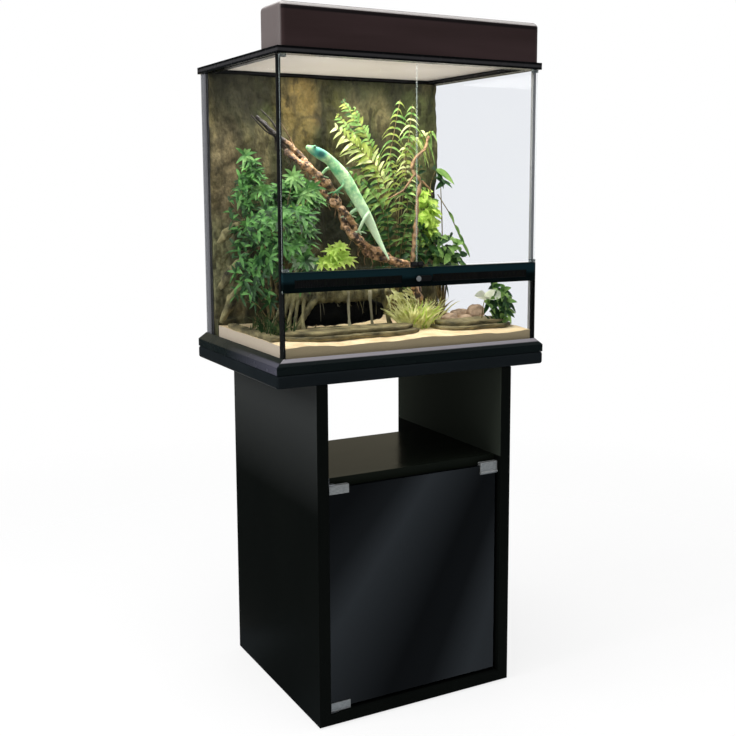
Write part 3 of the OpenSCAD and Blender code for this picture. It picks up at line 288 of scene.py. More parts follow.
# painted light: the upper part of the stand's left side, which the softbox reaches, is painted paler
PAINTED_LIGHT_LEFT_SIDE = where_all(
    facing(0, -0.5, -0.9), within(0, -BEYOND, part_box("left_side_panel")[0][0] + 5 * MM),
    under_top("left_side_panel", 0.13, -0.3, 0.14))
# painted light: the inner face of the stand's right side, over the shelf, is painted paler
PAINTED_LIGHT_INNER_SIDE = where_all(
    facing(0, -0.5, -0.9), within(0, 0.1, BEYOND), within(2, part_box("shelf")[1][2], 2 * BEYOND))
# painted highlight: a pale line on the upper rim of the base frame along the front
FRONT_RIM_HIGHLIGHT = where_all(facing(1, -0.3, -0.5), under_top("base_frame", 0.007, -0.002, 0.0008))
# painted highlight: a pale line on the rounded upper edge of the canopy, beside its top face
CANOPY_LIP_HIGHLIGHT = where_all(facing(2, 0.95, 0.8), under_top("canopy_shell", 0.0072, -0.01, 0.0008))
# painted highlight: the lower part of the base frame's bevel at its ends is painted paler, more so towards
# the front
SIDE_BEVEL_HIGHLIGHT = where_all(
    square_to(0, 0.3, 0.5), toward(1, 0.05, -0.23), under_top("base_frame", 0.03, 0.0075, 0.0015))
# the strip of the left pane that is bonded to the back pane, beside the rock
ON_BONDED_EDGE = where_all(
    within(1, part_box("rock_background")[1][1] - 0.026, BEYOND, 0.002), within(0, -BEYOND, 0.0))
# painted shade: the far end of the liana, in the corner of the tank, and the twigs there are painted dark
PAINTED_SHADE_LEFT_END = toward(0, -0.16, -0.185)
WOOD_IN_SHADE = (0.014, 0.009, 0.006)
# the grain of moulded plastic
MOULDED = (700, 0.05, 0.1 * MM)

# painted light: paler on the upper part of the left side and on the inner right side over the shelf
LAMINATE = surface(
    "laminate", (0.0034, 0.0042, 0.0038), (0.0042, 0.0051, 0.0045), 5, (0.3, 0.34), (420, 0.04, 0.1 * MM),
    (1, 1, 0.6), IOR=1.035,
    marks=((PAINTED_LIGHT_LEFT_SIDE, (0.042, 0.045, 0.045)), (PAINTED_LIGHT_INNER_SIDE, (0.032, 0.038, 0.03))))
SLAB_LAMINATE = surface(
    "slab_laminate", (0.007, 0.0095, 0.011), (0.0095, 0.0125, 0.0145), 8, (0.3, 0.38),
    (420, 0.06, 0.1 * MM), (0.6, 2, 2), IOR=1.075)
SHELF_LAMINATE = surface(
    "shelf_laminate", (0.006, 0.0082, 0.0058), (0.009, 0.011, 0.008), 8, (0.14, 0.22),
    (420, 0.05, 0.1 * MM), (0.6, 2, 1), IOR=1.095)
GLOSS_BLACK = surface(
    "gloss_black", (0.0025, 0.004, 0.0042), (0.0042, 0.0062, 0.0065), 30, (0.16, 0.24), MOULDED, IOR=1.22)
# painted highlight: a bluish band on the upper part of the strip, 1 to 20 mm under its top
STRIP_BLACK = surface(
    "strip_black", (0.001, 0.003, 0.003), (0.0018, 0.0042, 0.0046), 30, (0.16, 0.24), MOULDED, IOR=1.12,
    marks=((under_top("vent_strip", 0.02, 0.001, 0.004), (0.005, 0.017, 0.0215)),))
# painted highlight: a grey band across the frame, 4.5 to 10 mm under its top
TOP_FRAME_BLACK = surface(
    "top_frame_black", (0.0015, 0.0018, 0.002), (0.0028, 0.0032, 0.0035), 30, (0.2, 0.3), MOULDED, IOR=1.16,
    marks=((under_top("top_frame", 0.01, 0.0045, 0.001), (0.03, 0.029, 0.031)),))
# painted highlights: a pale line on the front rim, and a paler lower bevel at the ends
BASE_BLACK = surface(
    "base_black", (0.0026, 0.0052, 0.0054), (0.004, 0.0075, 0.0078), 14, (0.2, 0.3), MOULDED, (0.4, 1, 1),
    IOR=1.2, marks=((FRONT_RIM_HIGHLIGHT, (0.26, 0.245, 0.265)), (SIDE_BEVEL_HIGHLIGHT, (0.055, 0.055, 0.074))))
SATIN_BLACK = surface(
    "satin_black", (0.0025, 0.0027, 0.003), (0.0048, 0.005, 0.0053), 60, (0.4, 0.52),
    (1400, 0.15, 0.1 * MM), IOR=1.2)
SMOKE_TRIM = surface(
    "smoke_trim", (0.18, 0.185, 0.19), (0.24, 0.245, 0.25), 60, (0.3, 0.4), (900, 0.05, 0.1 * MM),
    (1, 1, 0.2), 0.4)
# painted shade: a dark band 8 to 15 mm under the top; painted highlight on the rounded upper edge; painted
# light: both end faces far paler than the front
CANOPY_BROWN = surface(
    "canopy_brown", (0.019, 0.01, 0.0095), (0.033, 0.019, 0.0195), 6, (0.42, 0.52), (420, 0.1, 0.2 * MM),
    (0.35, 2.5, 3.5), IOR=1.2,
    marks=((under_top("canopy_shell", 0.015, 0.008, 0.0012), (0.004, 0.002, 0.0025)),
           (CANOPY_LIP_HIGHLIGHT, (0.36, 0.34, 0.33)), (square_to(0, 0.6, 0.9), (0.115, 0.097, 0.095))))
WHITE_ENAMEL = surface(
    "white_enamel", (0.72, 0.72, 0.7), (0.8, 0.8, 0.78), 20, (0.25, 0.35), (500, 0.05, 0.1 * MM))
WHITE_MOULDING = surface(
    "white_moulding", (0.62, 0.62, 0.59), (0.7, 0.7, 0.67), 40, (0.4, 0.5), (900, 0.1, 0.1 * MM),
    specular=0.4)
BLACK_RUBBER = surface(
    "black_rubber", (0.002, 0.0022, 0.0022), (0.0035, 0.0038, 0.0038), 80, (0.6, 0.75),
    (1200, 0.2, 0.1 * MM), IOR=1.2)
RED_ROCKER = surface(
    "red_rocker", (0.3, 0.01, 0.01), (0.38, 0.016, 0.014), 50, (0.18, 0.26), (900, 0.04, 0.1 * MM))
BEECH = surface(
    "beech", (0.42, 0.27, 0.14), (0.56, 0.38, 0.21), 60, (0.55, 0.7), (900, 0.2, 0.2 * MM), (1, 1, 0.1),
    0.3)
ZINC = surface(
    "zinc", (0.34, 0.35, 0.36), (0.46, 0.47, 0.48), 90, (0.3, 0.45), (900, 0.1, 0.1 * MM), Metallic=1.0)
SATIN_CHROME = surface(
    "satin_chrome", (0.2, 0.21, 0.21), (0.34, 0.35, 0.35), 150, (0.34, 0.46), (1500, 0.08, 0.1 * MM),
    (1, 1, 4), Metallic=0.5)
CLEAR_BLOCK = surface(
    "clear_block", (0.34, 0.38, 0.38), (0.42, 0.46, 0.46), 60, (0.12, 0.2), (900, 0.04, 0.1 * MM),
    Transmission_Weight=0.85)
# painted shade: the sand is darker on the faces where the panes cut it than on its top
SAND = surface(
    "sand", (0.66, 0.49, 0.27), (0.86, 0.7, 0.44), 28, (0.8, 0.95), (1100, 0.6, 1.2 * MM), specular=0.15,
    marks=((square_to(1, 0.5, 0.8), (0.39, 0.315, 0.19)), (square_to(0, 0.5, 0.8), (0.54, 0.45, 0.34))))
LEDGE_STONE = surface(
    "ledge_stone", (0.034, 0.03, 0.012), (0.29, 0.24, 0.115), 34, (0.6, 0.85), (300, 0.7, 3 * MM),
    (1, 1, 2.5), 0.25)
PINK_STONE = surface(
    "pink_stone", (0.15, 0.095, 0.055), (0.58, 0.42, 0.28), 30, (0.55, 0.75), (240, 0.6, 3 * MM),
    specular=0.3)
ROOT_WOOD = surface(
    "root_wood", (0.014, 0.013, 0.006), (0.33, 0.29, 0.13), 52, (0.6, 0.8), (260, 0.8, 4 * MM), (1, 1, 0.6),
    0.25)
ROOT_PALE = surface(
    "root_pale", (0.1, 0.09, 0.045), (0.46, 0.42, 0.27), 50, (0.6, 0.8), (260, 0.7, 2 * MM), (1, 1, 0.4),
    0.25)
# painted shade: a near-black skin for the log and the low heaps in the hollow under the roots
HOLLOW_SHADE = surface(
    "hollow_shade", (0.0015, 0.0015, 0.001), (0.006, 0.0055, 0.0035), 60, (0.85, 0.95), (300, 0.8, 3 * MM),
    specular=0.1)
# bark with painted shade in dark blotches, painted highlights in orange blotches, and painted shade at the
# far end
BARK = surface(
    "bark", (0.006, 0.003, 0.001), (0.56, 0.31, 0.13), 80, (0.4, 0.6), (150, 0.9, 5 * MM), specular=0.4,
    marks=((blotches(85, 0.5, 0.42, 0.9), (0.01, 0.005, 0.003)),
           (blotches(120, 0.54, 0.64, 0.85), (0.74, 0.46, 0.26)), (PAINTED_SHADE_LEFT_END, WOOD_IN_SHADE)))
TWIG = surface(
    "twig", (0.045, 0.022, 0.008), (0.36, 0.22, 0.1), 70, (0.5, 0.7), (240, 0.6, 2 * MM), specular=0.3,
    marks=((PAINTED_SHADE_LEFT_END, WOOD_IN_SHADE),))
EYE = surface(
    "eye", (0.004, 0.004, 0.004), (0.012, 0.01, 0.006), 300, (0.05, 0.1), (900, 0.02, 0.1 * MM),
    specular=0.6)

# ---------- leaves, glass, rock and skin ----------


def foliage(name, dark, light, glow, scale=55):
    """Leaf tissue: two greens in drifts, a waxy face, and light that comes through."""
    mat, tree, bsdf = shader(name, dark, 0.5, 0.25)
    color = ramp(tree, noise_field(tree, scale, 3), (0.34, dark), (0.66, light))
    feed(tree, bsdf.inputs["Base Color"], color)
    bump(tree, bsdf, noise_field(tree, 420, 2), 0.25, 0.6 * MM)
    through = add(tree, "BsdfTranslucent", Color=color)
    output_of(tree, blend(tree, glow, bsdf.outputs["BSDF"], through.outputs["BSDF"]))
    return mat


LEAF_BUSH = foliage("leaf_bush", (0.024, 0.1, 0.022), (0.175, 0.42, 0.095), 0.22)
LEAF_BUSH_PALE = foliage("leaf_bush_pale", (0.11, 0.25, 0.065), (0.31, 0.54, 0.17), 0.22)
LEAF_SAGE = foliage("leaf_sage", (0.23, 0.36, 0.19), (0.56, 0.68, 0.46), 0.25)
LEAF_DEEP = foliage("leaf_deep", (0.005, 0.024, 0.004), (0.03, 0.095, 0.018), 0.18)
LEAF_FERN = foliage("leaf_fern", (0.14, 0.2, 0.024), (0.4, 0.48, 0.11), 0.32)
LEAF_PALM = foliage("leaf_palm", (0.4, 0.5, 0.14), (0.86, 0.92, 0.46), 0.35)
LEAF_LIME = foliage("leaf_lime", (0.38, 0.59, 0.07), (0.8, 0.97, 0.26), 0.42)
LEAF_MID = foliage("leaf_mid", (0.08, 0.2, 0.034), (0.34, 0.53, 0.15), 0.32)
LEAF_CREAM = foliage("leaf_cream", (0.74, 0.8, 0.6), (0.95, 0.96, 0.84), 0.45)
GRASS = foliage("grass", (0.5, 0.51, 0.15), (0.98, 0.98, 0.56), 0.48)
GRASS_DARK = foliage("grass_dark", (0.02, 0.04, 0.01), (0.09, 0.12, 0.034), 0.25)
DRY_STEM = foliage("dry_stem", (0.09, 0.066, 0.024), (0.33, 0.26, 0.11), 0.15)
MESH_WIRE = foliage("mesh_wire", (0.73, 0.68, 0.6), (0.81, 0.76, 0.69), 0.35, 6)


def clear_glass(name, axis, tint, edge, reflect=(0.006, 0.25), rim_share=0.22, bonded=None):
    """A pane: clear across its thin axis, with polished edges that show by a share.

    Where it is bonded to another pane it looks as its edge does.
    """
    mat, tree, bsdf = shader(name, edge, 0.15, 0.4)
    clear = add(tree, "BsdfTransparent", Color=tint).outputs["BSDF"]
    gloss = add(tree, "BsdfGlossy", Roughness=0.02).outputs["BSDF"]
    angle = add(tree, "LayerWeight", Blend=0.5)
    grazing = calculate(tree, "POWER", angle.outputs["Facing"], 5.0)
    face = blend(tree, spread(tree, grazing, 0, 1, *reflect), clear, gloss)
    if bonded:
        face = blend(tree, product(tree, bonded(tree), 0.92), face, bsdf.outputs["BSDF"])
    rim = blend(tree, rim_share, clear, bsdf.outputs["BSDF"])
    output_of(tree, blend(tree, square_to(axis, 0.4, 0.6)(tree), rim, face))
    return mat


PANE_TINT = (0.958, 0.964, 0.974)
PANE_EDGE = (0.62, 0.72, 0.68)
GREY_EDGE = (0.12, 0.12, 0.13)
GLASS_X = clear_glass("glass_side_panes", 0, PANE_TINT, GREY_EDGE, bonded=ON_BONDED_EDGE)
GLASS_Y = clear_glass("glass_front_panes", 1, PANE_TINT, PANE_EDGE)
GLASS_BACK = clear_glass("glass_back_pane", 1, PANE_TINT, GREY_EDGE, rim_share=0.85)
GLASS_Z = clear_glass("glass_floor_pane", 2, PANE_TINT, PANE_EDGE)
SMOKED = clear_glass("smoked_glass", 1, (0.09, 0.1, 0.12), (0.006, 0.008, 0.01), (0.036, 0.8))
CLEAR_SHEET = clear_glass("clear_sheet", 2, (0.96, 0.97, 0.97), (0.6, 0.65, 0.65))


def lamp_glass():
    """A fluorescent tube, lit at a plain level."""
    mat, tree, bsdf = shader("lamp_glass", (0.9, 0.9, 0.88), 0.3, Emission_Color=(1.0, 0.97, 0.92),
                             Emission_Strength=1.0)
    phosphor = ramp(tree, noise_field(tree, 25, 2), (0.3, (0.86, 0.86, 0.83)), (0.7, (0.92, 0.92, 0.9)))
    feed(tree, bsdf.inputs["Base Color"], phosphor)
    return mat


def veins(tree):
    """Fine dark lines, where a noise passes its middle."""
    ridge = calculate(tree, "SUBTRACT", noise_field(tree, 11, 4, (1, 1, 0.45)), 0.5)
    return spread(tree, calculate(tree, "ABSOLUTE", ridge), 0.004, 0.045, 0.55, 0)


# moss, worn tan places and olive ones, and painted shade in dark places; then grit, veins and cracks
ROCK_MARKS_AND_SHADE = (
    (blotches(8, 0.52, 0.64, 0.65), (0.04, 0.052, 0.014)),
    (near((-0.076, 0.17, 1.29), (0.066, 0.2, 0.085), 0.45, 0.88), (0.13, 0.09, 0.026)),
    (near((-0.076, 0.17, 1.225), (0.04, 0.2, 0.075), 0.5, 0.8), (0.13, 0.098, 0.03)),
    (near((-0.262, 0.17, 1.13), (0.055, 0.2, 0.15), 0.6, 0.75), (0.26, 0.205, 0.105)),
    (near((-0.275, 0.17, 0.93), (0.05, 0.2, 0.13), 0.6, 0.8), (0.265, 0.26, 0.125)),
    # painted shade: dark along the top of the rock
    (near((0.1, 0.17, 1.345), (0.13, 0.3, 0.075), 0.7, 0.8), (0.02, 0.024, 0.007)),
    (near((0.245, 0.17, 1.18), (0.06, 0.3, 0.15), 0.7, 0.7), (0.105, 0.12, 0.04)),
    (near((0.02, 0.17, 1.23), (0.036, 0.3, 0.13), 0.8, 0.65), (0.115, 0.115, 0.024)),
    # painted shade: a dark crease, a dark place behind the plants in the middle, and one at the top left
    (near((-0.01, 0.17, 1.24), (0.01, 0.3, 0.13), 0.7, 0.65), (0.012, 0.013, 0.004)),
    (near((0.01, 0.17, 1.01), (0.15, 0.3, 0.085), 0.6, 0.95), (0.005, 0.008, 0.003)),
    (near((-0.235, 0.17, 1.325), (0.105, 0.3, 0.085), 0.7, 0.88), (0.018, 0.017, 0.009)),
    (blotches(150, 0.35, 0.65, 0.45, 5), (0.03, 0.028, 0.012)),
    (veins, (0.012, 0.011, 0.005)),
    (blotches(40, 0.42, 0.34, 0.6, 5, (1, 1, 0.5)), (0.01, 0.009, 0.004)),
)


def rock_paint():
    """Dark olive rock with worn tan faces, mossy hollows, fine cracks and dark places of painted shade."""
    mat, tree, bsdf = shader("rock_paint", roughness=0.85, specular=0.2)
    drift = noise_field(tree, 15, 8, (1, 1, 0.4))
    color = ramp(tree, drift, (0.37, (0.01, 0.01, 0.004)), (0.5, (0.042, 0.04, 0.017)),
                 (0.62, (0.14, 0.12, 0.054)))
    paint(tree, bsdf, color, ROCK_MARKS_AND_SHADE)
    bump(tree, bsdf, noise_field(tree, 120, 6, (1, 1, 0.6)), 0.9, 6 * MM)
    return mat


# height in metres at which the lizard's tail begins to pale
TAIL_PALE = 1.085
# speckles, the pale tail, the teal cheek and the dark patch at the eye
SKIN_MARKS = (
    (blotches(190, 0.45, 0.62, 0.45, 3), (0.13, 0.42, 0.23)),
    (toward(2, TAIL_PALE, TAIL_PALE - 0.05, 0.75), (0.74, 0.92, 0.6)),
    (near((-0.134, -0.047, 1.176), (0.024, 0.024, 0.02), 0.6, 0.85), (0.04, 0.33, 0.26)),
    (near((-0.13, -0.047, 1.172), (0.012, 0.02, 0.009), 0.6, 0.85), (0.006, 0.07, 0.065)),
)


def lizard_skin():
    """Pale mint scales that drift to a yellower green."""
    mat, tree, bsdf = shader("lizard_skin", roughness=0.42, specular=0.4)
    drift = noise_field(tree, 60, 4)
    color = ramp(tree, drift, (0.36, (0.11, 0.39, 0.15)), (0.62, (0.56, 0.8, 0.4)))
    paint(tree, bsdf, color, SKIN_MARKS)
    scales = add(tree, "TexVoronoi", Scale=620, Vector=place(tree))
    bump(tree, bsdf, scales.outputs["Distance"], 0.45, 0.7 * MM)
    return mat


MATERIALS = {
    LAMINATE: ("bottom_panel", "left_side_panel", "right_side_panel", "back_panel"),
    SHELF_LAMINATE: ("shelf",),
    SLAB_LAMINATE: ("top_slab",),
    BASE_BLACK: ("base_frame",),
    STRIP_BLACK: ("vent_strip",),
    TOP_FRAME_BLACK: ("top_frame",),
    GLOSS_BLACK: ("screen_frame",),
    SATIN_BLACK: ("furniture_glides", "cam_locks", "door_catch", "left_edge_trim", "vent_grille",
                  "left_screen_clip", "right_screen_clip", "left_door_grip", "right_door_grip",
                  "lock_tab", "switch_housing"),
    CLEAR_BLOCK: ("left_door_shoes", "right_door_shoes"),
    SMOKE_TRIM: ("right_edge_trim",),
    BLACK_RUBBER: ("silicone_seams", "cord_gland"),
    ZINC: ("cam_bolts", "shelf_pins", "stand_hinge_brackets"),
    SATIN_CHROME: ("stand_door_clips", "stand_door_handle", "lock_face"),
    BEECH: ("panel_dowels",),
    GLASS_X: ("left_glass", "right_glass"),
    GLASS_BACK: ("back_glass",),
    GLASS_Y: ("lower_front_glass", "left_door_glass", "right_door_glass"),
    GLASS_Z: ("floor_glass",),
    SMOKED: ("stand_door_glass",),
    CLEAR_SHEET: ("clear_cover",),
    CANOPY_BROWN: ("canopy_shell",),
    WHITE_ENAMEL: ("gear_tray", "ballast"),
    WHITE_MOULDING: ("lamp_holders",),
    RED_ROCKER: ("switch_rocker",),
    lamp_glass(): ("lamp_tubes",),
}


def dress_nodes():
    for mat, names in MATERIALS.items():
        for name in names:
            mesh = nodes[name].data
            mesh.materials.clear()
            mesh.materials.append(mat)


dress_nodes()

# ---------- growing shapes ----------


def bell(x, centre, width):
    return math.exp(-(((x - centre) / width) ** 2))


def wave(degrees):
    return math.sin(math.radians(degrees))


def along(path, t):
    """The value at t (0 to 1) on straight runs between the values of a list."""
    s = min(max(t, 0.0), 0.9999) * (len(path) - 1)
    i = int(s)
    return path[i] + (path[i + 1] - path[i]) * (s - i)


def smooth(path, count, window=0.05):
    """A path with its corners rounded off, as count + 1 points."""
    points = []
    for i in range(count + 1):
        t = i / count
        reach = min(window, t, 1 - t)
        around = along(path, t - reach) + along(path, t + reach)
        points.append((around + 2 * along(path, t)) / 4)
    return points


SAND_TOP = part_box("sand_bed")[1][2]
UP = Vector((0, 0, 1))


def spot(x, y, z):
    """A place in millimetres over the level of the sand, as a vector in metres."""
    return Vector((x * MM, y * MM, SAND_TOP + z * MM))


def metres(points):
    return [spot(*point) for point in points]


def random_vector(dice, *reach):
    return Vector([dice.uniform(-r, r) * MM for r in reach])


class Growth:
    """Collects the sheets, tubes and leaves of one piece. A skin is the number of a material.

    Places are vectors in metres; sizes are in millimetres, apart from the radii of a tube.
    """

    def __init__(self, seed):
        self.points = []
        self.faces = []
        self.skins = []
        self.dice = random.Random(seed)

    def rows(self, rows, skin=0, closed=False):
        """Joins rows of points into a sheet, or into a tube where each row closes on itself."""
        first = len(self.points)
        width = len(rows[0])
        for row in rows:
            self.points.extend(row)
        for j in range(len(rows) - 1):
            for i in range(width if closed else width - 1):
                a = first + j * width + i
                b = first + j * width + (i + 1) % width
                self.faces.append((a, b, b + width, a + width))
                self.skins.append(skin)

    def block(self, rows, foot):
        """A sheet with walls from its four edges; foot moves a point to the end of its wall."""
        self.rows(rows)
        for edge in (rows[0], rows[-1], [row[0] for row in rows], [row[-1] for row in rows]):
            self.rows([edge, [foot(p) for p in edge]])

    def tube(self, path, radii, skin, sides=6, flat=1.0, rough=0.0):
        """A round or flattened tube along a path; rough is the share by which it is lumpy."""
        reference = Vector((0.31, 0.9, 0.17))
        rings = []
        for i, point in enumerate(path):
            ahead = (path[min(i + 1, len(path) - 1)] - path[max(i - 1, 0)]).normalized()
            side = ahead.cross(reference).normalized()
            up = ahead.cross(side)
            ring = []
            for k in range(sides):
                a = math.tau * k / sides
                out = math.cos(a) * side + flat * math.sin(a) * up
                lump = 1 + rough * noise.noise((point + out * radii[i]) * LUMPS) if rough else 1
                ring.append(point + radii[i] * lump * out)
            rings.append(ring)
        self.rows([[path[0]] * sides] + rings + [[path[-1]] * sides], skin, closed=True)

    def taper(self, path, start, end, skin, sides=6, rough=0.0):
        """A tube that thins evenly from one radius to another."""
        last = len(path) - 1
        radii = [(start + (end - start) * i / last) * MM for i in range(last + 1)]
        self.tube(path, radii, skin, sides, rough=rough)

    def ball(self, centre, size, skin, rough=0.0, seed=0):
        """An egg shape of three radii, lumpy by a share of its size."""
        rows = []
        for j in range(BALL_ROWS + 1):
            polar = math.pi * j / BALL_ROWS
            row = []
            for k in range(BALL_SIDES):
                a = math.tau * k / BALL_SIDES
                out = Vector((math.sin(polar) * math.cos(a), math.sin(polar) * math.sin(a), math.cos(polar)))
                lump = 1 + rough * noise.noise(out * 1.6 + Vector((seed, 0, 0)))
                row.append(centre + Vector([o * r * MM * lump for o, r in zip(out, size)]))
            rows.append(row)
        self.rows(rows, skin, closed=True)

    def blade(self, base, heading, length, width, skin, up, droop, fold=0.35, shape=0.8):
        """A leaf with a folded midrib that droops towards its tip. Shape moves its widest place."""
        length, width = length * MM, width * MM
        heading = heading.normalized()
        side = heading.cross(up)
        if side.length < 1e-4:
            side = Vector((1, 0, 0))
        side.normalize()
        lift = side.cross(heading)
        rows = []
        for j in range(BLADE_STEPS + 1):
            s = j / BLADE_STEPS
            half = 0.5 * width * math.sin(math.pi * min(1, 0.04 + 0.96 * s) ** shape) ** 0.8 if s < 1 else 0
            middle = base + heading * (length * s) - UP * (droop * length * s * s)
            edge = lift * (fold * half)
            rows.append([middle - side * half + edge, middle, middle + side * half + edge])
        self.rows(rows, skin)

    def make(self, name, skins, replaced, body="cabinet"):
        """The collected faces as a piece that stands for a node of the solids."""
        mesh = bpy.data.meshes.new(name)
        mesh.from_pydata([tuple(p) for p in self.points], [], self.faces)
        for mat in skins:
            mesh.materials.append(mat)
        mesh.polygons.foreach_set("material_index", self.skins)
        mesh.polygons.foreach_set("use_smooth", [True] * len(self.faces))
        piece = bpy.data.objects.new(name, mesh)
        bpy.context.collection.objects.link(piece)
        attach(piece, body)
        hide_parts(replaced)


# lumps per metre of a rough tube, and the faces of balls and leaves
LUMPS = 90
BALL_ROWS = 12
BALL_SIDES = 20
BLADE_STEPS = 5

# ---------- screen of woven wire ----------


def weave_screen():
    """Two layers of thin wires where the solid screen is a coarse grid."""
    low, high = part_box("screen_mesh")
    pitch = 2.6 * MM
    wire_r = 0.3
    growth = Growth(1)
    for axis in (0, 1):
        other = 1 - axis
        count = int((high[other] - low[other]) / pitch)
        height = low[2] + (0.35 + 0.3 * axis) * MM
        for i in range(1, count):
            ends = []
            for end in (low[axis], high[axis]):
                point = Vector((0, 0, height))
                point[axis] = end
                point[other] = low[other] + i * pitch
                ends.append(point)
            growth.taper(ends, wire_r, wire_r, 0, 4)
    growth.make("woven_screen", [MESH_WIRE], "screen_mesh", "screen_lid")


weave_screen()

# ---------- rock, sand and stones ----------

ROCK_LOW, ROCK_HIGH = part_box("rock_background")
SAND_LOW, SAND_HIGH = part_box("sand_bed")
ROCK_THICK = (ROCK_HIGH[1] - ROCK_LOW[1]) / MM
ROCK_FOOT = 12
ROCK_MEAN = 24
ROCK_ROUGH = 11
ROCK_STEPS = 170
# ribs and creases from top to bottom: depth, place, width
RIBS = ((15, -78, 46), (11, -212, 52), (10, 92, 60), (12, 262, 34), (-9, -6, 12), (-6, -142, 12))
SAND_DROP = 3
SAND_STEPS = (160, 100)
# where the sand begins to fall towards the front pane
LEVEL_Y = -150


def rock_depth(x, z):
    """Thickness of the rock in millimetres, as the solid has it."""
    h = z - SAND_TOP / MM
    if h < ROCK_FOOT:
        return ROCK_THICK
    ribs = sum(depth * bell(x, centre, width) for depth, centre, width in RIBS)
    waves = 3.5 * wave(0.9 * h + 1.3 * x) + 2.5 * wave(2.1 * h - 0.8 * x + 230)
    return min(ROCK_THICK - 2, ROCK_MEAN + ribs + waves + 9 * bell(h, 30, 60))


def between(low, high, axis, share):
    return low[axis] + (high[axis] - low[axis]) * share


def sheet(columns, lines, point):
    """Rows of points; point gives each from its share of the width and of the height."""
    return [[point(i / columns, j / lines) for i in range(columns + 1)] for j in range(lines + 1)]


def rock_point(u, v):
    """A place on the rock's rough face."""
    x = between(ROCK_LOW, ROCK_HIGH, 0, u)
    z = between(ROCK_LOW, ROCK_HIGH, 2, v)
    rough = noise.turbulence(Vector((x, 0.4, z * 0.6)) * 20, 5, False)
    depth = rock_depth(x / MM, z / MM) - ROCK_ROUGH * rough
    return Vector((x, ROCK_HIGH[1] - depth * MM, z))


def on_rock_back(point):
    return Vector((point[0], ROCK_HIGH[1], point[2]))


def carve_rock():
    growth = Growth(2)
    rows = sheet(ROCK_STEPS, ROCK_STEPS, rock_point)
    growth.block(rows, on_rock_back)
    growth.rows([[on_rock_back(row[0]), on_rock_back(row[-1])] for row in (rows[0], rows[-1])])
    growth.make("carved_rock", [rock_paint()], "rock_background")


def sand_height(x, y):
    """Height of the sand's face in millimetres: nearly level, with ripples at the front pane."""
    t = min(1, max(0, (LEVEL_Y - y) / (LEVEL_Y - SAND_LOW[1] / MM)))
    t = t * t * (3 - 2 * t)
    ripple = 1.6 * wave(1.1 * x + 40) + 1.2 * wave(2.7 * x)
    return SAND_TOP / MM + (ripple - SAND_DROP) * t


def sand_point(u, v):
    """A place on the sand's face, with finer rows towards the front pane."""
    x = between(SAND_LOW, SAND_HIGH, 0, u)
    y = between(SAND_LOW, SAND_HIGH, 1, v ** 1.6)
    grains = 1.1 * noise.noise(Vector((x, y, 0.3)) * 45) - 0.6
    return Vector((x, y, (sand_height(x / MM, y / MM) + min(0, grains)) * MM))


def pour_sand():
    growth = Growth(3)
    growth.block(sheet(*SAND_STEPS, sand_point), lambda p: Vector((p[0], p[1], SAND_LOW[2])))
    growth.make("poured_sand", [SAND], "sand_bed")


# flat stones: left end, right end, front edge, depth, height, thickness
LEDGES = (
    (-258, 48, -176, 84, 0, 9), (-254, 40, -164, 66, 9, 8), (104, 286, -174, 80, 0, 8),
    (112, 286, -162, 64, 8, 9))
# stones along the left pane: left, right, front, back, thickness
SIDE_LEDGE = ((-288, -266, -140, -60, 10), (-288, -263, -60, 30, 10), (-288, -270, 30, 108, 10))
# the worn profile of a flat stone: share of its height, share of the way to its middle
STONE_PROFILE = ((0, 0.02), (0.25, 0.0), (0.75, 0.0), (1, 0.03), (1, 0.12), (1, 0.95))
STONE_WEAR = 1.6
# without a seed, noise_vector takes its own from the clock
WEAR_SEED = 5


def flat_stone(growth, outline, z0, thick):
    """A slab with worn rounded edges, sunk a little into the sand."""
    middle = sum(outline, Vector()) / len(outline)
    rows = []
    for height, inset in STONE_PROFILE:
        row = []
        for p in outline + outline[:1]:
            at = p + (middle - p) * inset
            point = Vector((at.x, at.y, SAND_TOP + (z0 + thick * height - 0.6) * MM))
            row.append(point + noise.noise_vector(point * 60) * STONE_WEAR * MM)
        rows.append(row)
    growth.rows(rows)


def lay_ledges():
    """Flat stones in two layers along the front, and a row along the left pane."""
    growth = Growth(5)
    noise.seed_set(WEAR_SEED)
    for x0, x1, y0, depth, z0, thick in LEDGES:
        front, back = [], []
        for i in range(41):
            u = i / 40
            x = x0 + (x1 - x0) * u
            bend = (2 * u - 1) ** 4
            front.append(Vector((x, y0 + 3.5 * wave(612 * u + x0) + 26 * bend, 0)) * MM)
            back.append(Vector((x, y0 + depth - 3.5 * wave(468 * u) - 6 * bend, 0)) * MM)
        flat_stone(growth, front + back[::-1], z0, thick)
    for x0, x1, y0, y1, thick in SIDE_LEDGE:
        left, right = [[Vector((x, y0 + (y1 - y0) * i / 12, 0)) * MM for i in range(13)] for x in (x0, x1)]
        flat_stone(growth, right + left[::-1], 0, thick)
    growth.make("worn_ledges", [LEDGE_STONE], "stone_ledges")


# loose stones: place, size
BOULDERS = (
    ((176, -64), (50, 40, 26)), ((218, -70), (34, 30, 20)), ((252, -58), (44, 40, 44)),
    ((150, -30), (30, 26, 18)), ((228, -26), (46, 38, 30)))


def roll_stones():
    growth = Growth(6)
    for number, ((x, y), size) in enumerate(BOULDERS):
        growth.ball(spot(x, y, size[2] * 0.42), [s * 0.5 for s in size], 0, 0.34, number * 7)
    growth.make("rounded_stones", [PINK_STONE], "stones")


carve_rock()
pour_sand()
lay_ledges()
roll_stones()

# ---------- roots ----------

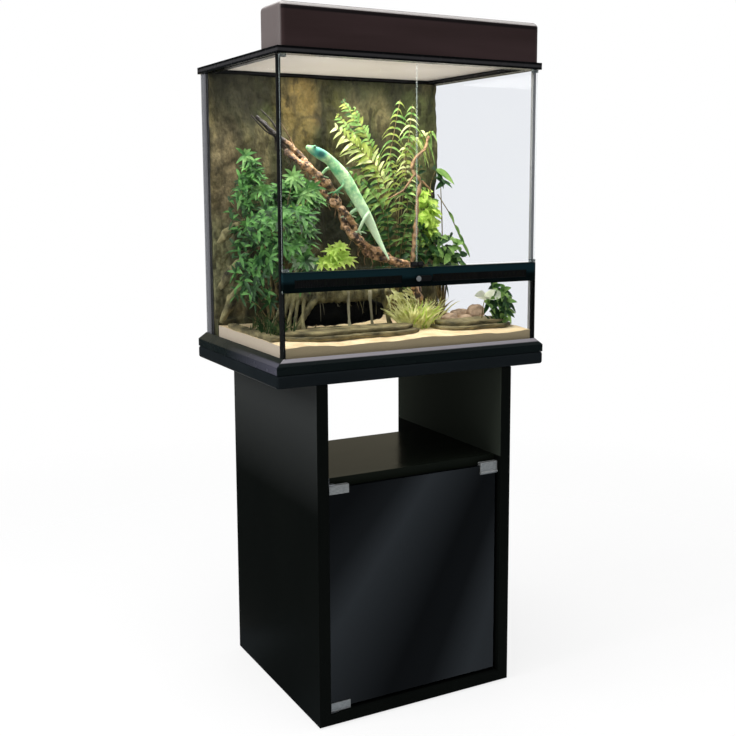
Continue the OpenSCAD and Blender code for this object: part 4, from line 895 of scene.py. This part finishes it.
ROOT_BEAM = (
    (-214, -22, 76), (-176, -34, 74), (-112, -38, 80), (-48, -36, 76), (14, -30, 78), (44, -20, 74))
ROOT_BEAM_R = (9, 16, 19, 17, 14, 7)
ROOT_LOG = ((-206, -8, 34), (-150, -12, 38), (-90, -14, 40), (-30, -12, 38), (26, -8, 32))
ROOT_LOG_R = (21, 29, 32, 29, 19)
# top and foot on the plan, radius
ROOT_LEGS = (
    ((-138, -44), (-206, -66), 12), ((-73, -50), (-74, -62), 5), ((-20, -50), (-18, -62), 5),
    ((14, -40), (30, -54), 7), ((-196, -30), (-238, -62), 8), ((-188, -34), (-224, -76), 7),
    ((-170, -40), (-192, -84), 6), ((-200, -24), (-250, -38), 8), ((-180, -36), (-212, -84), 6))
# painted shade: low near-black heaps in front of the hollow: centre, radii
ROOT_SHADE = (((-112, -58, 3), (110, 34, 8)), ((6, -54, 3), (42, 28, 7)))
# roots that lean on the rock at the left: route, radius
ROOT_ARMS = (
    (((-289, 156, 184), (-270, 146, 208), (-236, 128, 236)), 10),
    (((-289, 154, 84), (-262, 138, 122), (-226, 116, 170)), 13),
    (((-289, 150, 8), (-270, 128, 60), (-240, 110, 112)), 11))


def grow_roots():
    """A gnarled beam on legs, with hanging rootlets behind it, and a dark hollow of painted shade: a
    near-black log and low near-black heaps.
    """
    growth = Growth(7)
    dice = growth.dice
    wood, pale, hollow_shade = range(3)
    # the log takes the near-black skin, painted shade for the dark hollow
    for route, sizes, steps, skin, sides, rough in ((ROOT_BEAM, ROOT_BEAM_R, 60, wood, 18, 0.45),
                                                    (ROOT_LOG, ROOT_LOG_R, 40, hollow_shade, 16, 0.15)):
        radii = [r * MM for r in smooth(sizes, steps)]
        growth.tube(smooth(metres(route), steps), radii, skin, sides, rough=rough)
    for centre, size in ROOT_SHADE:
        growth.ball(spot(*centre), size, hollow_shade, 0.3)
    for top, foot, radius in ROOT_LEGS:
        skin = wood if radius > 5 else pale
        knee = (top[0] * 0.3 + foot[0] * 0.7, (top[1] + foot[1]) / 2, 30)
        path = smooth(metres([(*top, 84), knee, (*foot, 0)]), 24, 0.2)
        radii = [radius * MM * (0.95 - 0.35 * math.sin(math.pi * i / 24)) for i in range(25)]
        growth.tube(path, radii, skin, 10, rough=0.4)
        for k in range(5):
            a = math.tau * k / 5 + dice.uniform(-0.4, 0.4)
            reach = radius * 2.2
            toe = spot(foot[0] + reach * math.cos(a), foot[1] + 0.7 * reach * math.sin(a), 1)
            growth.taper([spot(*foot, 7), toe], 0.3 * radius, 0.1 * radius, skin)
    for route, radius in ROOT_ARMS:
        radii = [radius * MM * math.sin(math.pi * (0.12 + 0.8 * i / 24)) for i in range(25)]
        growth.tube(smooth(metres(route), 24, 0.15), radii, wood, 14, rough=0.5)
    for k in range(13):
        x = dice.uniform(-206, 36)
        y = -30 - 12 * dice.random()
        end = 22 + 40 * dice.random() ** 2
        wander = dice.uniform(-8, 8)
        route = (x, y, 72), (x + wander, y - 8, 50), (x + 1.5 * wander, y - 10, end)
        growth.taper(smooth(metres(route), 8, 0.2), 0.9, 0.34, pale if k % 3 else wood, 5)
    growth.make("gnarled_roots", [ROOT_WOOD, ROOT_PALE, HOLLOW_SHADE], "root_cave")


grow_roots()

# ---------- liana and its twig ----------

LIANA = metres((
    (-232, 62, 456), (-206, 50, 430), (-170, 38, 392), (-150, 20, 364), (-124, 0, 332), (-102, -18, 300),
    (-84, -28, 268), (-70, -38, 240), (-58, -46, 214), (-46, -52, 188), (-20, -56, 166), (14, -60, 152),
    (50, -62, 142), (78, -64, 128), (92, -66, 84), (96, -60, 34), (98, -58, 4)))
TWIG_PATH = metres((
    (212, 92, 424), (193, 70, 398), (143, 40, 368), (121, 14, 346), (140, 0, 318), (122, -12, 286),
    (114, -24, 240), (100, -38, 196), (88, -52, 160), (80, -58, 132)))
# thin side twigs: route, radius at the foot
SIDE_TWIGS = (
    (((-176, 40, 400), (-200, 50, 446), (-222, 60, 470)), 2.6),
    (((-186, 46, 410), (-214, 52, 424), (-244, 60, 458)), 2.4),
    (((-150, 40, 384), (-166, 46, 420), (-184, 50, 448)), 1.8),
    (((126, 6, 336), (92, -2, 298), (48, -8, 280)), 3.0),
    (((140, 0, 320), (156, -4, 306), (164, -8, 288)), 2.6),
    (((121, 14, 346), (134, 20, 372), (168, 30, 392)), 3.2))
LIANA_LINE = smooth(LIANA, 40)
LIANA_R = 8.4
LIANA_STEPS = 220
LIANA_TURN = 1080
STRAND_SWING = 9.2
TWIG_STEPS = 90


def clear_of_liana(point, gap):
    return all((point - p).length > gap * MM for p in LIANA_LINE)


def twist_liana():
    """Two strands wound round each other, with hanging rootlets, and a knotty twig."""
    growth = Growth(4)
    dice = growth.dice
    bark, twig = range(2)
    line = smooth(LIANA, LIANA_STEPS)
    for phase, radius in ((0, LIANA_R), (180, 0.85 * LIANA_R)):
        path = []
        radii = []
        for i, centre in enumerate(line):
            t = i / LIANA_STEPS
            a = math.radians(LIANA_TURN * t + phase)
            swing = STRAND_SWING * min(1, 6 * t, 6 * (1 - t) + 0.3)
            out = Vector((math.cos(a), math.sin(a), 0.3 * math.cos(a + math.pi / 3)))
            path.append(centre + out * swing * MM)
            knot = noise.noise(centre * 60 + Vector((phase, 0, 0)))
            radii.append(radius * MM * (0.35 + 0.65 * min(1, t * 5)) * (1 + 0.45 * knot))
        growth.tube(path, radii, bark, 16, rough=0.45)
    for _ in range(16):
        start = along(line, dice.uniform(0.05, 0.72))
        wind = [start + random_vector(dice, 9, 6, 3) - UP * (0.012 * i) for i in range(4)]
        growth.taper(smooth(wind, 12, 0.2), 2.0, 0.56, twig)
    path = smooth(TWIG_PATH, TWIG_STEPS, 0.03)
    radii = [(3.4 + 1.6 * i / TWIG_STEPS) * MM * (1 + 0.6 * noise.noise(p * 55)) for i, p in enumerate(path)]
    growth.tube(path, radii, twig, 10, rough=0.7)
    for route, radius in SIDE_TWIGS:
        growth.taper(smooth(metres(route), 24, 0.12), radius, 0.52 * radius, twig, 8, 0.6)
    growth.make("twisted_liana", [BARK, TWIG], "liana")


twist_liana()

# ---------- lizard ----------

SPINE = metres((
    (-161, -40, 390), (-148, -38, 385), (-124, -36, 374), (-106, -34, 364), (-94, -36, 351),
    (-76, -40, 329), (-64, -46, 308), (-49, -52, 280), (-38, -58, 258), (-25, -62, 233), (-14, -66, 208),
    (-6, -74, 187), (0, -84, 169), (6, -92, 152)))
GIRTH = (0.28, 0.62, 0.82, 0.68, 0.84, 0.98, 0.9, 0.8, 0.8, 0.68, 0.52, 0.36, 0.22, 0.08)
LIZARD_R = 15
# shoulder or hip, knee, foot on the liana, thickness
LEGS = (
    ((-82, -44, 334), (-78, -50, 312), (-92, -32, 296), 4.5),
    ((-92, -26, 350), (-106, -20, 346), (-118, -12, 330), 4.5),
    ((-30, -66, 252), (-42, -70, 240), (-50, -56, 212), 5),
    ((-38, -50, 262), (-54, -46, 258), (-66, -40, 246), 5))
EYES = ((-146, -47, 390), (-142, -29, 390))
# how far each pupil stands out of its eye, away from the head
PUPIL_OUT = ((-0.4, -2.0, 0.4), (-0.4, 2.0, 0.4))
TOES = (-15, -5, 6, 16)


def model_lizard():
    """A slim lizard that climbs the liana head up, with a long tapering tail."""
    growth = Growth(8)
    skin, eye = range(2)
    steps = 90
    body = smooth(SPINE, steps, 0.035)
    radii = [LIZARD_R * MM * g for g in smooth(GIRTH, steps, 0.035)]
    growth.tube(body, radii, skin, 20, 0.88)
    for shoulder, knee, foot, radius in LEGS:
        leg = smooth(metres((shoulder, knee, foot)), 18, 0.16)
        growth.taper(leg, 1.05 * radius, 0.55 * radius, skin, 10)
        end = leg[-1]
        for a in TOES:
            tip = end + Vector((a, -a / 2, -9 + abs(a) / 3)) * MM
            growth.tube([end, (end + tip) / 2 + UP * 1.5 * MM, tip], [1.9 * MM, 1.5 * MM, 1.0 * MM], skin)
    for centre, out in zip(metres(EYES), PUPIL_OUT):
        growth.ball(centre, (3.6, 3.0, 3.6), skin)
        growth.ball(centre + Vector(out) * MM, (2.1, 1.6, 2.1), eye)
    for i in range(8, 60, 2):
        ridge = body[i] + Vector((0.45, 0, 0.85)) * radii[i] * 0.86
        growth.blade(ridge, Vector((0.5, 0, 0.8)), 3.2, 3.4, skin, Vector((0, 1, 0)), 0, 0.2)
    growth.make("lizard", [lizard_skin(), EYE], "lizard_figure")


model_lizard()

# ---------- plants ----------

# leaves end a little inside the side panes, the doors and the rock
WALL_X = 0.288
FRONT_Y = -0.205
ROCK_GAP = 4 * MM


def inside(point):
    """Is a point in the open part of the tank, clear of the glass, rock and sand?"""
    x, y, z = point
    back = ROCK_HIGH[1] - rock_depth(x / MM, z / MM) * MM - ROCK_GAP
    return abs(x) < WALL_X and FRONT_Y < y < back and SAND_TOP < z < ROCK_HIGH[2]


def fits(start, heading, length):
    """Does a leaf of this length end inside?"""
    return inside(start + heading.normalized() * length * MM)


def sprig(growth, root, tip, radius, skin):
    """A stem that rises from its root and leans over to its tip."""
    knee = Vector((root.x * 0.6 + tip.x * 0.4, root.y * 0.6 + tip.y * 0.4, root.z * 0.3 + tip.z * 0.7))
    path = smooth([root, knee, tip], 8, 0.15)
    growth.taper(path, radius, 0.52 * radius, skin, 5)
    return path[-1]


def whorl(growth, centre, axis, count, length, width, skins, keep_off=12):
    """Leaves that spread from one point like the ribs of an umbrella."""
    dice = growth.dice
    axis = axis.normalized()
    side = axis.orthogonal().normalized()
    up = axis.cross(side)
    start = dice.uniform(0, math.tau)
    for k in range(count):
        a = start + math.tau * k / count + dice.uniform(-0.15, 0.15)
        out = math.cos(a) * side + math.sin(a) * up + axis * dice.uniform(0.15, 0.7)
        long = length * dice.uniform(0.75, 1.1)
        tip = centre + out.normalized() * long * MM
        if inside(tip) and clear_of_liana(tip, keep_off) and clear_of_liana((centre + tip) / 2, keep_off):
            growth.blade(centre, out, long, width * dice.uniform(0.85, 1.1), dice.choice(skins), axis,
                         dice.uniform(0.15, 0.45), 0.3, 0.75)


def spray(growth, centre, leaves, up, droop):
    """Single leaves from one point: heading, length, width and skin of each."""
    for heading, length, width, skin in leaves:
        growth.blade(centre, Vector(heading), length, width, skin, Vector(up), droop)


def tuft(growth, centre, size, high, count, skins, width):
    """Grass that stands on the sand."""
    dice = growth.dice
    for _ in range(count):
        start = spot(*centre, 0) + random_vector(dice, *size, 0)
        out = Vector((dice.uniform(-0.9, 0.9), dice.uniform(-0.6, 0.4), 1.2))
        length = high * dice.uniform(0.55, 1.15)
        if fits(start, out, length):
            growth.blade(start, out, length, width, dice.choice(skins), Vector((0, -1, 0.2)), 0.35, 0.2, 0.5)


# The places of the bush are those it has in the view, on the plane y = VIEW_Y.
VIEW_Y = 20
VIEW_SLANT = 0.52
BUSH_REACH = (-335, -92)
BUSH_TWIGS = 560
# how high the bush reaches at each place
BUSH_TOP = (
    (-335, 300), (-300, 318), (-290, 372), (-250, 372), (-236, 322), (-200, 330), (-150, 334), (-125, 314),
    (-105, 288), (-96, 262), (-90, 200))


def height_over(table, x):
    """Height at x by straight runs between the places of a table."""
    for (x0, z0), (x1, z1) in zip(table, table[1:]):
        if x0 <= x <= x1:
            return z0 + (z1 - z0) * (x - x0) / (x1 - x0)
    return table[0][1] if x < table[0][0] else table[-1][1]


def grow_bush():
    """Whorled twigs that fill the left corner up to BUSH_TOP, with painted shade: darker with depth and low
    down.
    """
    growth = Growth(11)
    dice = growth.dice
    green, pale, stem, deep, dark_grass, lime, sage = range(7)
    root = spot(-185, 70, 0)
    heart = spot(-170, 60, 104)
    for i in range(BUSH_TWIGS):
        place_in_view = dice.uniform(*BUSH_REACH)
        # at the right the bush stands behind the roots, and shows only over them
        floor = 40 if place_in_view < -222 else 108
        top = height_over(BUSH_TOP, place_in_view) - 10
        z = floor + (top - floor) * dice.random() ** 0.75
        if z < 268 and place_in_view > -122:
            continue
        depth = dice.random()
        y = -110 + 236 * depth
        if z > 264:
            y = max(y, 20 + (z - 264) * 0.25)
        centre = spot(place_in_view - VIEW_SLANT * (VIEW_Y - y), y, z)
        if not inside(centre) or not clear_of_liana(centre, 18):
            continue
        if i % 4 == 0:
            sprig(growth, root + random_vector(dice, 18, 18, 0), centre, 1.6, stem)
        axis = (centre - heart).normalized() + Vector((-0.2, -0.9, 0.6))
        # painted shade: twigs deeper in the bush and low down more often take the dark leaf material
        skins = (green, green, green, deep) if depth < 0.5 else (deep, deep, green)
        if z < 150:
            skins = (green, deep, deep)
        whorl(growth, centre, axis, dice.choice((5, 6, 7)), dice.uniform(18, 34), 7.2, skins)
    stars = (((-262, 50, 372), 34, (pale, green)), ((-238, 20, 301), 34, (pale, green)),
             ((-272, 60, 280), 30, (green, pale)), ((-230, 20, 259), 30, (pale, green)),
             ((-259, 40, 227), 28, (green,)), ((-166, -30, 291), 38, (green, pale)),
             ((-188, -30, 328), 32, (pale,)), ((-145, -30, 303), 36, (green, pale)),
             ((-180, -30, 255), 28, (pale, lime)), ((-197, -30, 214), 24, (pale, sage)),
             ((-161, -30, 175), 20, (sage, green)), ((-198, -30, 166), 20, (sage, pale)),
             ((-176, -40, 190), 20, (sage, green)), ((-186, -40, 150), 20, (sage, green)),
             ((-150, -40, 152), 18, (sage, green)), ((-206, -44, 190), 18, (sage, pale)),
             ((-168, -44, 150), 18, (sage, green)), ((-204, -30, 240), 22, (pale, green)),
             ((-160, -34, 228), 22, (green, pale)), ((-176, -40, 120), 18, (green, pale)))
    for centre, length, skins in stars:
        sprig(growth, root, spot(*centre), 1.4, stem)
        whorl(growth, spot(*centre), Vector((-0.35, -0.85, 0.4)), 9, length, 7.6, skins, 8)
    tuft(growth, (-250, -60), (30, 70), 70, 110, (dark_grass, deep), 3.0)
    tuft(growth, (-196, 20), (60, 60), 80, 80, (dark_grass, stem), 3.0)
    growth.make("bush_leaves", [LEAF_BUSH, LEAF_BUSH_PALE, DRY_STEM, LEAF_DEEP, GRASS_DARK, LEAF_LIME,
                                LEAF_SAGE], "bush")


def frond(growth, route, stem, pairs, length, width, skins, sweep, droop, start):
    """An arching midrib with pairs of narrow leaflets that sweep forward and droop unevenly."""
    dice = growth.dice
    rib = smooth(metres(route), 24, 0.15)
    growth.taper(rib, 1.8, 0.6, stem, 5)
    for i in range(pairs):
        u = i / (pairs - 1)
        t = start + (0.98 - start) * u
        base = along(rib, t)
        ahead = (along(rib, min(1, t + 0.04)) - along(rib, t - 0.04)).normalized()
        across = ahead.cross(Vector((0.15, -1.0, 0.1))).normalized()
        reach = length * math.sin(math.pi * min(1, 0.25 + 0.68 * u)) ** 0.6
        for sign in (-1, 1):
            out = across * sign + ahead * sweep + random_vector(dice, 260, 420, 260)
            if fits(base, out, reach):
                growth.blade(base, out, reach * dice.uniform(0.7, 1.1), width, dice.choice(skins),
                             Vector((0, -1, 0.3)), droop * dice.uniform(0.5, 1.5), 0.3, 0.6)


def grow_ferns():
    """Bright fronds in front, arching ones at the right, dark ones behind and below."""
    growth = Growth(12)
    palm, fern, stem, green, deep = range(5)
    # root on the sand, middle and tip, pairs, leaflet length and width, skins, sweep, droop, first leaflet
    plans = (
        (((112, 108), (100, 78, 330), (-38, 80, 440)), 15, 54, 7, (palm, palm, fern), 0.9, 0.4, 0.48),
        (((112, 108), (96, 90, 330), (10, 84, 420)), 12, 46, 7, (palm, fern), 1.0, 0.5, 0.52),
        (((112, 106), (80, 96, 370), (-14, 88, 502)), 18, 32, 6, (fern, green, green, deep), 1.0, 0.4, 0.56),
        (((112, 106), (90, 92, 340), (14, 90, 486)), 16, 34, 6, (fern, green, green), 1.0, 0.5, 0.55),
        (((112, 106), (84, 96, 350), (-30, 88, 470)), 14, 28, 6, (fern, green, green), 1.0, 0.5, 0.6),
        (((124, 110), (158, 110, 330), (176, 104, 498)), 13, 44, 6, (fern, green, palm), 0.2, 1.0, 0.48),
        (((122, 110), (112, 114, 340), (146, 110, 508)), 12, 44, 6, (fern, fern, green), 0.2, 1.0, 0.5),
        (((124, 110), (150, 104, 400), (226, 92, 436)), 11, 44, 7, (palm, fern, green), 0.2, 1.0, 0.58),
        (((126, 106), (150, 76, 264), (130, 60, 400)), 10, 44, 6, (palm, fern), 0.4, 0.9, 0.5),
        (((126, 106), (120, 76, 264), (90, 60, 380)), 10, 44, 6, (fern, green), 0.4, 0.9, 0.5),
        (((118, 104), (96, 70, 224), (44, 50, 350)), 12, 44, 8, (fern, green), 0.6, 0.5, 0.4),
        (((118, 104), (80, 60, 254), (10, 40, 322)), 12, 40, 9, (green, deep), 0.6, 0.5, 0.34),
        (((118, 104), (60, 70, 254), (-20, 60, 350)), 12, 40, 9, (green, deep), 0.6, 0.5, 0.34),
        (((124, 102), (140, 64, 204), (176, 40, 304)), 11, 42, 8, (deep, green), 0.6, 0.5, 0.34),
        (((120, 100), (110, 40, 184), (118, 6, 254)), 11, 42, 8, (deep, green), 0.6, 0.5, 0.34),
        (((120, 100), (90, 60, 150), (62, 20, 250)), 11, 44, 9, (deep,), 0.6, 0.5, 0.3),
        (((120, 100), (60, 80, 200), (-10, 60, 270)), 12, 44, 9, (deep,), 0.6, 0.5, 0.3),
        (((120, 100), (140, 30, 120), (140, 0, 200)), 11, 42, 9, (deep, green), 0.6, 0.5, 0.3),
        (((116, 104), (80, 96, 220), (20, 96, 400)), 12, 44, 9, (deep, green), 0.6, 0.5, 0.34),
        (((124, 110), (170, 110, 220), (196, 104, 360)), 12, 44, 9, (deep, green), 0.6, 0.5, 0.34),
    )
    for (root, middle, tip), *manner in plans:
        frond(growth, ((*root, 0), middle, tip), stem, *manner)
    growth.make("fern_fronds", [LEAF_PALM, LEAF_FERN, DRY_STEM, LEAF_MID, LEAF_DEEP], "ferns")


# place, leaves, leaf length and width, skins (0 lime, 1 mid, 2 deep), spread
CLIMBER_CLUMPS = (
    ((168, 40, 280), 30, 24, 15, (0,), 14), ((180, 36, 258), 34, 26, 15, (0, 0, 1), 16),
    ((170, 34, 234), 34, 26, 15, (0,), 17), ((178, 32, 208), 32, 26, 15, (0, 0, 1), 16),
    ((164, 30, 182), 26, 24, 14, (0, 0, 1), 14), ((150, 60, 300), 10, 28, 13, (2, 1), 16),
    ((200, 16, 318), 7, 30, 13, (2,), 9), ((190, 40, 190), 14, 28, 16, (1, 2), 18),
    ((178, 4, 164), 18, 28, 17, (1, 1, 2), 18), ((206, -4, 176), 18, 26, 17, (1, 1, 2), 18),
    ((222, -8, 152), 18, 26, 18, (1, 1, 2), 20), ((196, -14, 134), 18, 28, 18, (1, 1, 2), 20),
    ((232, 20, 134), 12, 28, 16, (1, 2), 16), ((206, 20, 100), 14, 30, 16, (2,), 20),
    ((154, 30, 210), 14, 28, 12, (2,), 20), ((140, 10, 150), 14, 28, 12, (2,), 22),
    ((170, 30, 120), 14, 30, 14, (2,), 24),
)


def grow_climber():
    """Lime leaves, a dark leaf with a long tip, and dark leaves at the right."""
    growth = Growth(13)
    dice = growth.dice
    mid, deep, stem, cream = range(1, 5)
    root = spot(210, 18, 0)
    for centre, count, length, width, skins, wander in CLIMBER_CLUMPS:
        end = sprig(growth, root, spot(*centre), 1.8, stem)
        for _ in range(count):
            start = end + random_vector(dice, wander, wander, wander)
            out = Vector((dice.uniform(-1, 1), dice.uniform(-1, 0.3), dice.uniform(-0.5, 0.8)))
            if fits(start, out, length):
                growth.blade(start, out, length, width, dice.choice(skins), Vector((0.2, -0.8, 0.7)), 0.4,
                             0.3, 0.75)
    hanging = smooth(metres(((190, 12, 290), (218, 4, 246), (236, 0, 206), (250, -6, 172))), 16)
    growth.taper(hanging, 1.2, 1.2, stem, 5)
    for t, length in ((0.3, 28), (0.55, 26), (0.72, 32), (0.92, 38)):
        spray(growth, along(hanging, t), [((0.5, -0.3, -1.0), length, 10, mid)], (0.3, -1, 0), 0.1)
    pointed = spot(188, 16, 346)
    sprig(growth, spot(176, 36, 250), pointed, 1.2, stem)
    spray(growth, pointed, (((1.0, -0.4, -0.5), 48, 20, mid), ((0.2, -0.6, -0.9), 40, 16, deep),
                            ((-0.6, -0.5, 0.3), 34, 14, deep)), (0.3, -1, 0.4), 0.3)
    low = spot(224, -140, 64)
    sprig(growth, spot(226, -120, 4), low, 1.4, stem)
    spray(growth, low, (((-0.9, -0.3, 0.35), 44, 24, cream), ((0.9, -0.3, 0.35), 46, 26, cream),
                        ((0.2, -0.5, 0.6), 34, 20, cream)), (0.1, -1, 0.6), 0.2)
    for centre in ((262, -150, 78), (266, -160, 56), (262, -164, 34), (252, -150, 50), (258, -140, 66),
                   (250, -130, 84), (244, -140, 30), (270, -140, 40), (248, -146, 66), (264, -130, 20),
                   (238, -130, 48), (256, -156, 16)):
        whorl(growth, spot(*centre), Vector((0.1, -0.9, 0.4)), 7, 26, 12, (deep, deep, mid))
    tuft(growth, (256, -140), (12, 14), 60, 16, (mid, deep), 6)
    growth.make("climber_leaves", [LEAF_LIME, LEAF_MID, LEAF_DEEP, DRY_STEM, LEAF_CREAM], "climber")


def grow_low_plants():
    """A lime plant on the log, and grass at the right of the roots."""
    growth = Growth(14)
    dice = growth.dice
    lime, grass, stem = range(3)
    root = spot(-62, -16, 66)
    for centre in ((-100, -30, 168), (-82, -32, 178), (-112, -32, 150), (-64, -32, 150), (-126, -34, 144),
                   (-88, -38, 152), (-76, -30, 162), (-102, -42, 140)):
        sprig(growth, root, spot(*centre), 1.6, stem)
        whorl(growth, spot(*centre), Vector((-0.2, -0.8, 0.9)), 10, 26, 8.5, (lime,), 6)
    tuft(growth, (54, -104), (20, 10), 92, 110, (grass,), 5.2)
    tuft(growth, (72, -94), (28, 16), 96, 130, (grass, grass, lime), 4.8)
    tuft(growth, (110, -62), (34, 12), 102, 130, (grass, grass, stem), 4.6)
    for _ in range(40):
        start = spot(dice.uniform(20, 90), dice.uniform(-66, -40), dice.uniform(52, 84))
        out = Vector((dice.uniform(-0.6, 0.8), dice.uniform(-0.9, -0.2), dice.uniform(-0.6, 0.5)))
        growth.blade(start, out, dice.uniform(24, 42), 5, grass, Vector((0, -1, 0.3)), 0.6, 0.2, 0.5)
    growth.make("low_leaves", [LEAF_LIME, GRASS, DRY_STEM], "low_plants")


grow_bush()
grow_ferns()
grow_climber()
grow_low_plants()

# ---------- studio ----------

FLOOR_SIZE = 8
FLOOR_WHITE = 0.8
FLOOR_FADE = (1.0, 2.4)
FILL = 0.55
SKY = (0.86, 1.0, 1.14)
WARM = (1.08, 1.0, 0.74)


def seen_ray(tree):
    """1 for a ray that shows the surroundings: from the camera, from gloss or through glass."""
    rays = add(tree, "LightPath").outputs
    seen = rays["Is Camera Ray"]
    for kind in ("Is Transmission Ray", "Is Glossy Ray"):
        seen = calculate(tree, "MAXIMUM", seen, rays[kind])
    return seen


def studio_floor():
    """A white floor that keeps the object's shadow and ends softly in the white round it."""
    mat, tree, bsdf = shader("studio_floor", (0.88, 0.88, 0.88), 0.9, 0.1)
    share = spread(tree, seen_ray(tree), 0, 1, 0, FLOOR_WHITE)
    lit = blend(tree, share, bsdf.outputs["BSDF"], add(tree, "Emission").outputs["Emission"])
    away = spread(tree, distance(tree), *FLOOR_FADE)
    output_of(tree, blend(tree, away, lit, add(tree, "BsdfTransparent").outputs["BSDF"]))
    return mat


def card_face(name, tint, stops):
    """A card that shines more or less from its left to its right edge (0 to 1)."""
    mat, tree, _ = shader(name)
    marks = [(position, tuple(level * t for t in tint)) for position, level in stops]
    color = ramp(tree, component(tree, "Generated", 0), *marks)
    output_of(tree, add(tree, "Emission", Color=color).outputs["Emission"])
    return mat


def plane(name, size, centre, mat, rotation=(0, 0, 0)):
    mesh = bpy.data.meshes.new(name)
    x, y = size[0] / 2, size[1] / 2
    mesh.from_pydata([(-x, -y, 0), (x, -y, 0), (x, y, 0), (-x, y, 0)], [], [(0, 1, 2, 3)])
    mesh.materials.append(mat)
    piece = bpy.data.objects.new(name, mesh)
    piece.location = centre
    piece.rotation_euler = [math.radians(a) for a in rotation]
    bpy.context.collection.objects.link(piece)
    return piece


def gloss_card(name, size, centre, rotation, tint, *stops):
    """A card that only shows in glossy faces, as a photographer's flag or softbox does."""
    card = plane(name, size, centre, card_face(name, tint, stops), rotation)
    card.visible_camera = False
    card.visible_diffuse = False
    card.visible_transmission = False
    card.visible_shadow = False


def area_light(name, size, centre, aim, power, color=(1, 1, 1)):
    data = bpy.data.lights.new(name, "AREA")
    data.shape = "RECTANGLE"
    data.size, data.size_y = size
    data.energy = power
    data.color = color
    lamp = bpy.data.objects.new(name, data)
    lamp.location = centre
    lamp.rotation_euler = (Vector(aim) - Vector(centre)).to_track_quat("-Z", "Y").to_euler()
    lamp.visible_camera = False
    bpy.context.collection.objects.link(lamp)


def light_world():
    """White where it is seen, and a plain fill for the rest."""
    world = bpy.data.worlds.new("studio")
    world.use_nodes = True
    bpy.context.scene.world = world
    tree = world.node_tree
    background = tree.nodes["Background"].inputs
    feed(tree, background["Color"], (1, 1, 1))
    feed(tree, background["Strength"], spread(tree, seen_ray(tree), 0, 1, FILL, 1.0))


plane("floor", (FLOOR_SIZE, FLOOR_SIZE), (0, 0, 0), studio_floor())
# in the floor before the smoked door: two light streaks between dark bands
gloss_card("door_streaks", (1.1, 3.2), (0.62, -1.03, 0.003), (0, 0, 40.5), SKY,
           (0.1, 0.15), (0.22, 0.3), (0.31, 0.8), (0.4, 0.48), (0.49, 0.16), (0.56, 0.2),
           (0.635, 0.75), (0.75, 0.55))
gloss_card("flag_left", (2.6, 4.4), (-1.6, 2.0, 1.8), (90, 0, 15), SKY, (0.0, 0.05), (1.0, 0.05))
gloss_card("floor_flag", (1.4, 2.2), (-0.98, 1.15, 0.002), (0, 0, 0), SKY, (0.0, 0.05), (1.0, 0.05))
gloss_card("bay_card", (1.8, 1.2), (0.45, 1.2, 0.85), (90, 0, 0), WARM, (0.0, 0.48), (1.0, 0.6))
gloss_card("flag_right", (3.0, 2.4), (1.4, -2.6, 1.15), (90, 0, 15), SKY, (0.0, 0.08), (1.0, 0.16))
light_world()
area_light("top_softbox", (1.8, 1.4), (-0.3, -0.4, 3.2), (0, 0, 1.0), 55)
area_light("left_softbox", (0.9, 1.2), (-2.2, -0.1, 2.0), (-0.3, 0, 1.3), 38)
area_light("tank_light", (0.5, 0.34), (0.0, -0.02, 1.348), (0, -0.02, 0.8), 4.2, (1.0, 0.97, 0.9))
area_light("screen_light", (0.52, 0.36), (0.0, 0.0, 1.335), (0, 0.0, 1.8), 0.42, (1.0, 0.95, 0.88))

bpy.context.scene.view_settings.view_transform = "Standard"
